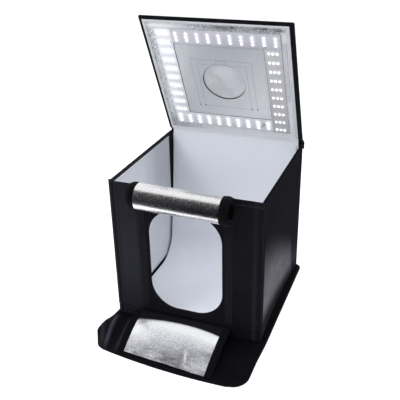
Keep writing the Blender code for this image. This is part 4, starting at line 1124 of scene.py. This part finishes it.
def hatch_shell():
    outer_w, depth = -0.0073, 0.0048
    box = (-0.0825, 0.0825, 0.1088, 0.2735)
    profile = ((0.0062, 0.8), (0.004, 0.98), (0.002, 1), (0.0006, 0.86), (0, 0.6), (0, 0.4), (0.0006, 0.14),
        (0.002, 0), (0.006, -0.04), (0.0076, 0.08), (0.009, -0.02))
    edge = [(inset, outer_w + depth * share) for inset, share in profile]
    loops = panel_loops(box, 0.003, edge, relief=pucker(41, 0.0004, 24), flat=outer_w, count=90, start=0.011,
        shares=(0.1, 0.3, 0.55, 0.8))
    piece = loops_piece("hatch_cloth", "hatch black_cloth hatch_cover", loops, "lid_black", -1, 0.0006)
    stitches("hatch_outer_seam", "hatch black_cloth", [box_path(shrink(box, 0.0076))], outer_w + 0.0001,
        "thread_black", -1)
    loops = []
    for radius, w in raised(outer_w + depth, (71.5, 0), (60, 0), (58.6, 0.6), (58.3, 4), (57.8, 5), (50, 5.3),
            (38, 5.4), (25, 5.4), (12, 5.4)):
        loop = []
        for step in range(72):
            run_u, run_v = cos(tau * step / 72), sin(tau * step / 72)
            reach = radius
            if radius > 0.07:
                reach = min(0.0757 / max(abs(run_u), 1e-6), 0.075 / max(abs(run_v), 1e-6))
            u, v = reach * run_u, LID_MIDDLE + reach * run_v
            v = min(max(v, box[2] + 0.0062), box[3] - 0.0062)
            loop.append((u, v, w + 0.0002 * wander(u, v, 60, 43)))
        loops.append(loop)
    piece = loops_piece("hatch_liner", "hatch silver_lining hatch_lining", loops, "hatch_film", 1, 0.0005)
    path = arch(HATCH_OUTER - HATCH_TAPE, HATCH_FAR - HATCH_TAPE)
    strip_piece("hatch_hook_band", "hatch black_tape hatch_hook_tape", path, HATCH_TAPE, -0.0025, -0.0015,
        "hook_black", 0.0003)
    strip_piece("hatch_loop_band", "lid black_tape hatch_loop_tape", path, HATCH_TAPE, -0.0003, -0.0012,
        "tape_black", 0.0003)


def hinge_cloths():
    """The cloth that joins the rear wall and the lid, outside and inside."""
    def outer(s, t):
        run = -0.022 + 0.046 * t
        x = -0.1985 + (0.397 + 0.0045 * min(1, max(0, 0.005 - run) / 0.008)) * s
        ripple = 0.0003 * wander(x, run, 40, 51) + 0.002 * max(0, x - 0.19) / 0.013
        if run < 0:
            return Vector((x, AXIS_Y + 0.0014 + ripple, AXIS_Z + run))
        return on_lid(x, run, -0.0012 - ripple) + Vector((0, 0.0004, 0))

    piece = grid_piece("hinge_cloth", None, outer, 60, 20, "front_black", Y, 0.0009)
    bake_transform(piece)
    dress(piece, "black_cloth", "lid_hinge_strip")

    def inner(s, t):
        x, y = -0.188 + 0.376 * s, AXIS_Y - DEPTH - 0.0011
        base = Vector((x, y, 0.3805 + 0.045 * t))
        if t >= 0.4:
            share = (t - 0.4) / 0.6
            bend = max(0, 1 - share * 2.2) ** 2
            base = on_lid(x, 0.001 + 0.015 * share, DEPTH + 0.0011).lerp(Vector((x, y, 0.3985)), bend)
        return base + Vector((0, 0.0004 * wander(x, t * 0.02, 30, 53), 0))

    # Its white cloth is painted lighter to make up for the shade here.
    piece = grid_piece("inner_hinge_cloth", None, inner, 60, 16, "hinge_white_painted_lighter", (0, -1, 0), 0.0006)
    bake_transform(piece)
    dress(piece, "white_lining")


def rigid_materials():
    """Finish the solids that show as they are."""
    looks = {"lamp_lead_tape": "pale_tape", "inlet_shell": "plastic", "inlet_pin": "steel"}
    looks.update({f"lamp_screw_{number}": "steel" for number in range(1, 5)})
    for part in ("base", "left_wall", "right_wall", "rear_wall", "front_wall", "lid", "hatch"):
        looks[f"{part}_board"] = "board"
    for name, look in looks.items():
        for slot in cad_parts[name].material_slots:
            slot.material = LOOK[look]


# The studio.

def seen_rays(g, *kinds):
    """Whether a ray is of one of these kinds."""
    return g.most(*(g.node("ShaderNodeLightPath", output=f"Is {kind} Ray") for kind in kinds))


def studio():
    g = material("floor")
    g.set(Emission_Color=(1, 1, 1), Emission_Strength=seen_rays(g, "Camera", "Glossy") * 0.58,
        Base_Color=(0.86, 0.86, 0.87), Roughness=0.9)
    mesh = bmesh.new()
    bmesh.ops.create_grid(mesh, x_segments=4, y_segments=4, size=9)
    for corner in mesh.verts:
        corner.co.z = -0.0002
    finish_mesh("studio_floor", None, mesh, ["floor"], sharp=0)
    # Three dark flags around the camera: low in front, upright and overhead.
    left, right, near, far, top = -2.6, 0.6, -0.6, -1.35, 2.4
    flags = (((near, 0.001), (far, 0.001)), ((far, 0), (far, top)), ((far, top), (-0.86, top)))
    for number, ((first_y, first_z), (last_y, last_z)) in enumerate(flags):
        corners = ((left, first_y, first_z), (right, first_y, first_z), (right, last_y, last_z),
            (left, last_y, last_z))
        mesh = bmesh.new()
        mesh.faces.new([mesh.verts.new(corner) for corner in corners])
        flag = finish_mesh(f"studio_flag_{number}", None, mesh, ["mat_black"], sharp=0)
        flag.visible_camera = flag.visible_diffuse = flag.visible_shadow = flag.visible_transmission = False
    world = bpy.data.worlds.new("studio")
    SCENE.world = world
    g = Graph(world, "ShaderNodeOutputWorld")
    light = g.node("ShaderNodeBackground", {"Color": (0.93, 0.96, 1), "Strength": 0.5})
    white = g.node("ShaderNodeBackground", {"Color": (1, 1, 1), "Strength": 1})
    seen = seen_rays(g, "Camera", "Glossy", "Transmission")
    g.feed(g.output.inputs[0], g.node("ShaderNodeMixShader", {0: seen, 1: light, 2: white}))
    for name, place, target, size, power in (("key", (-1.5, -1.7, 2.3), (0, 0, 0.25), 1.4, 34),
            ("top", (0.1, -0.5, 2.7), (0, 0.05, 0.2), 1.8, 30),
            ("side", (2.3, 0.9, 1.5), (0.1, 0, 0.2), 1.2, 16)):
        data = bpy.data.lights.new(name, "AREA")
        data.size, data.energy = size, power
        made = add_object(name, data)
        made.location = place
        made.visible_glossy = False
        made.rotation_euler = (Vector(target) - Vector(place)).to_track_quat("-Z", "Y").to_euler()


def camera():
    """The camera that was fitted to the cube's corners in the photo."""
    yaw, pitch, roll = 0.375129879, 0.454260916, -0.0214366533
    focal_pixels, image_pixels, sensor = 632.539, 400, 36
    forward = Vector((-sin(yaw) * cos(pitch), cos(yaw) * cos(pitch), -sin(pitch)))
    right = forward.cross(Vector(Z)).normalized()
    up = right.cross(forward)
    turned_right = cos(roll) * right + sin(roll) * up
    turned_up = -sin(roll) * right + cos(roll) * up
    data = bpy.data.cameras.new("camera")
    data.sensor_width = sensor
    data.lens = focal_pixels / image_pixels * sensor
    data.clip_start = 0.05
    made = add_object("camera", data)
    basis = Matrix((turned_right, turned_up, -forward)).transposed().to_4x4()
    made.matrix_world = Matrix.Translation((0.53322, -1.4408, 1.03565)) @ basis
    SCENE.camera = made


camera()
mat_sheet()
foot_bands()
floor_sheet()
backdrop_sheet()
walls()
front_wall()
upper_curtain()
lower_curtain()
lid_shell()
hatch_stitching()
lamp_boards()
hatch_shell()
hinge_cloths()
rigid_materials()
studio()
SCENE.view_settings.view_transform = "Standard"
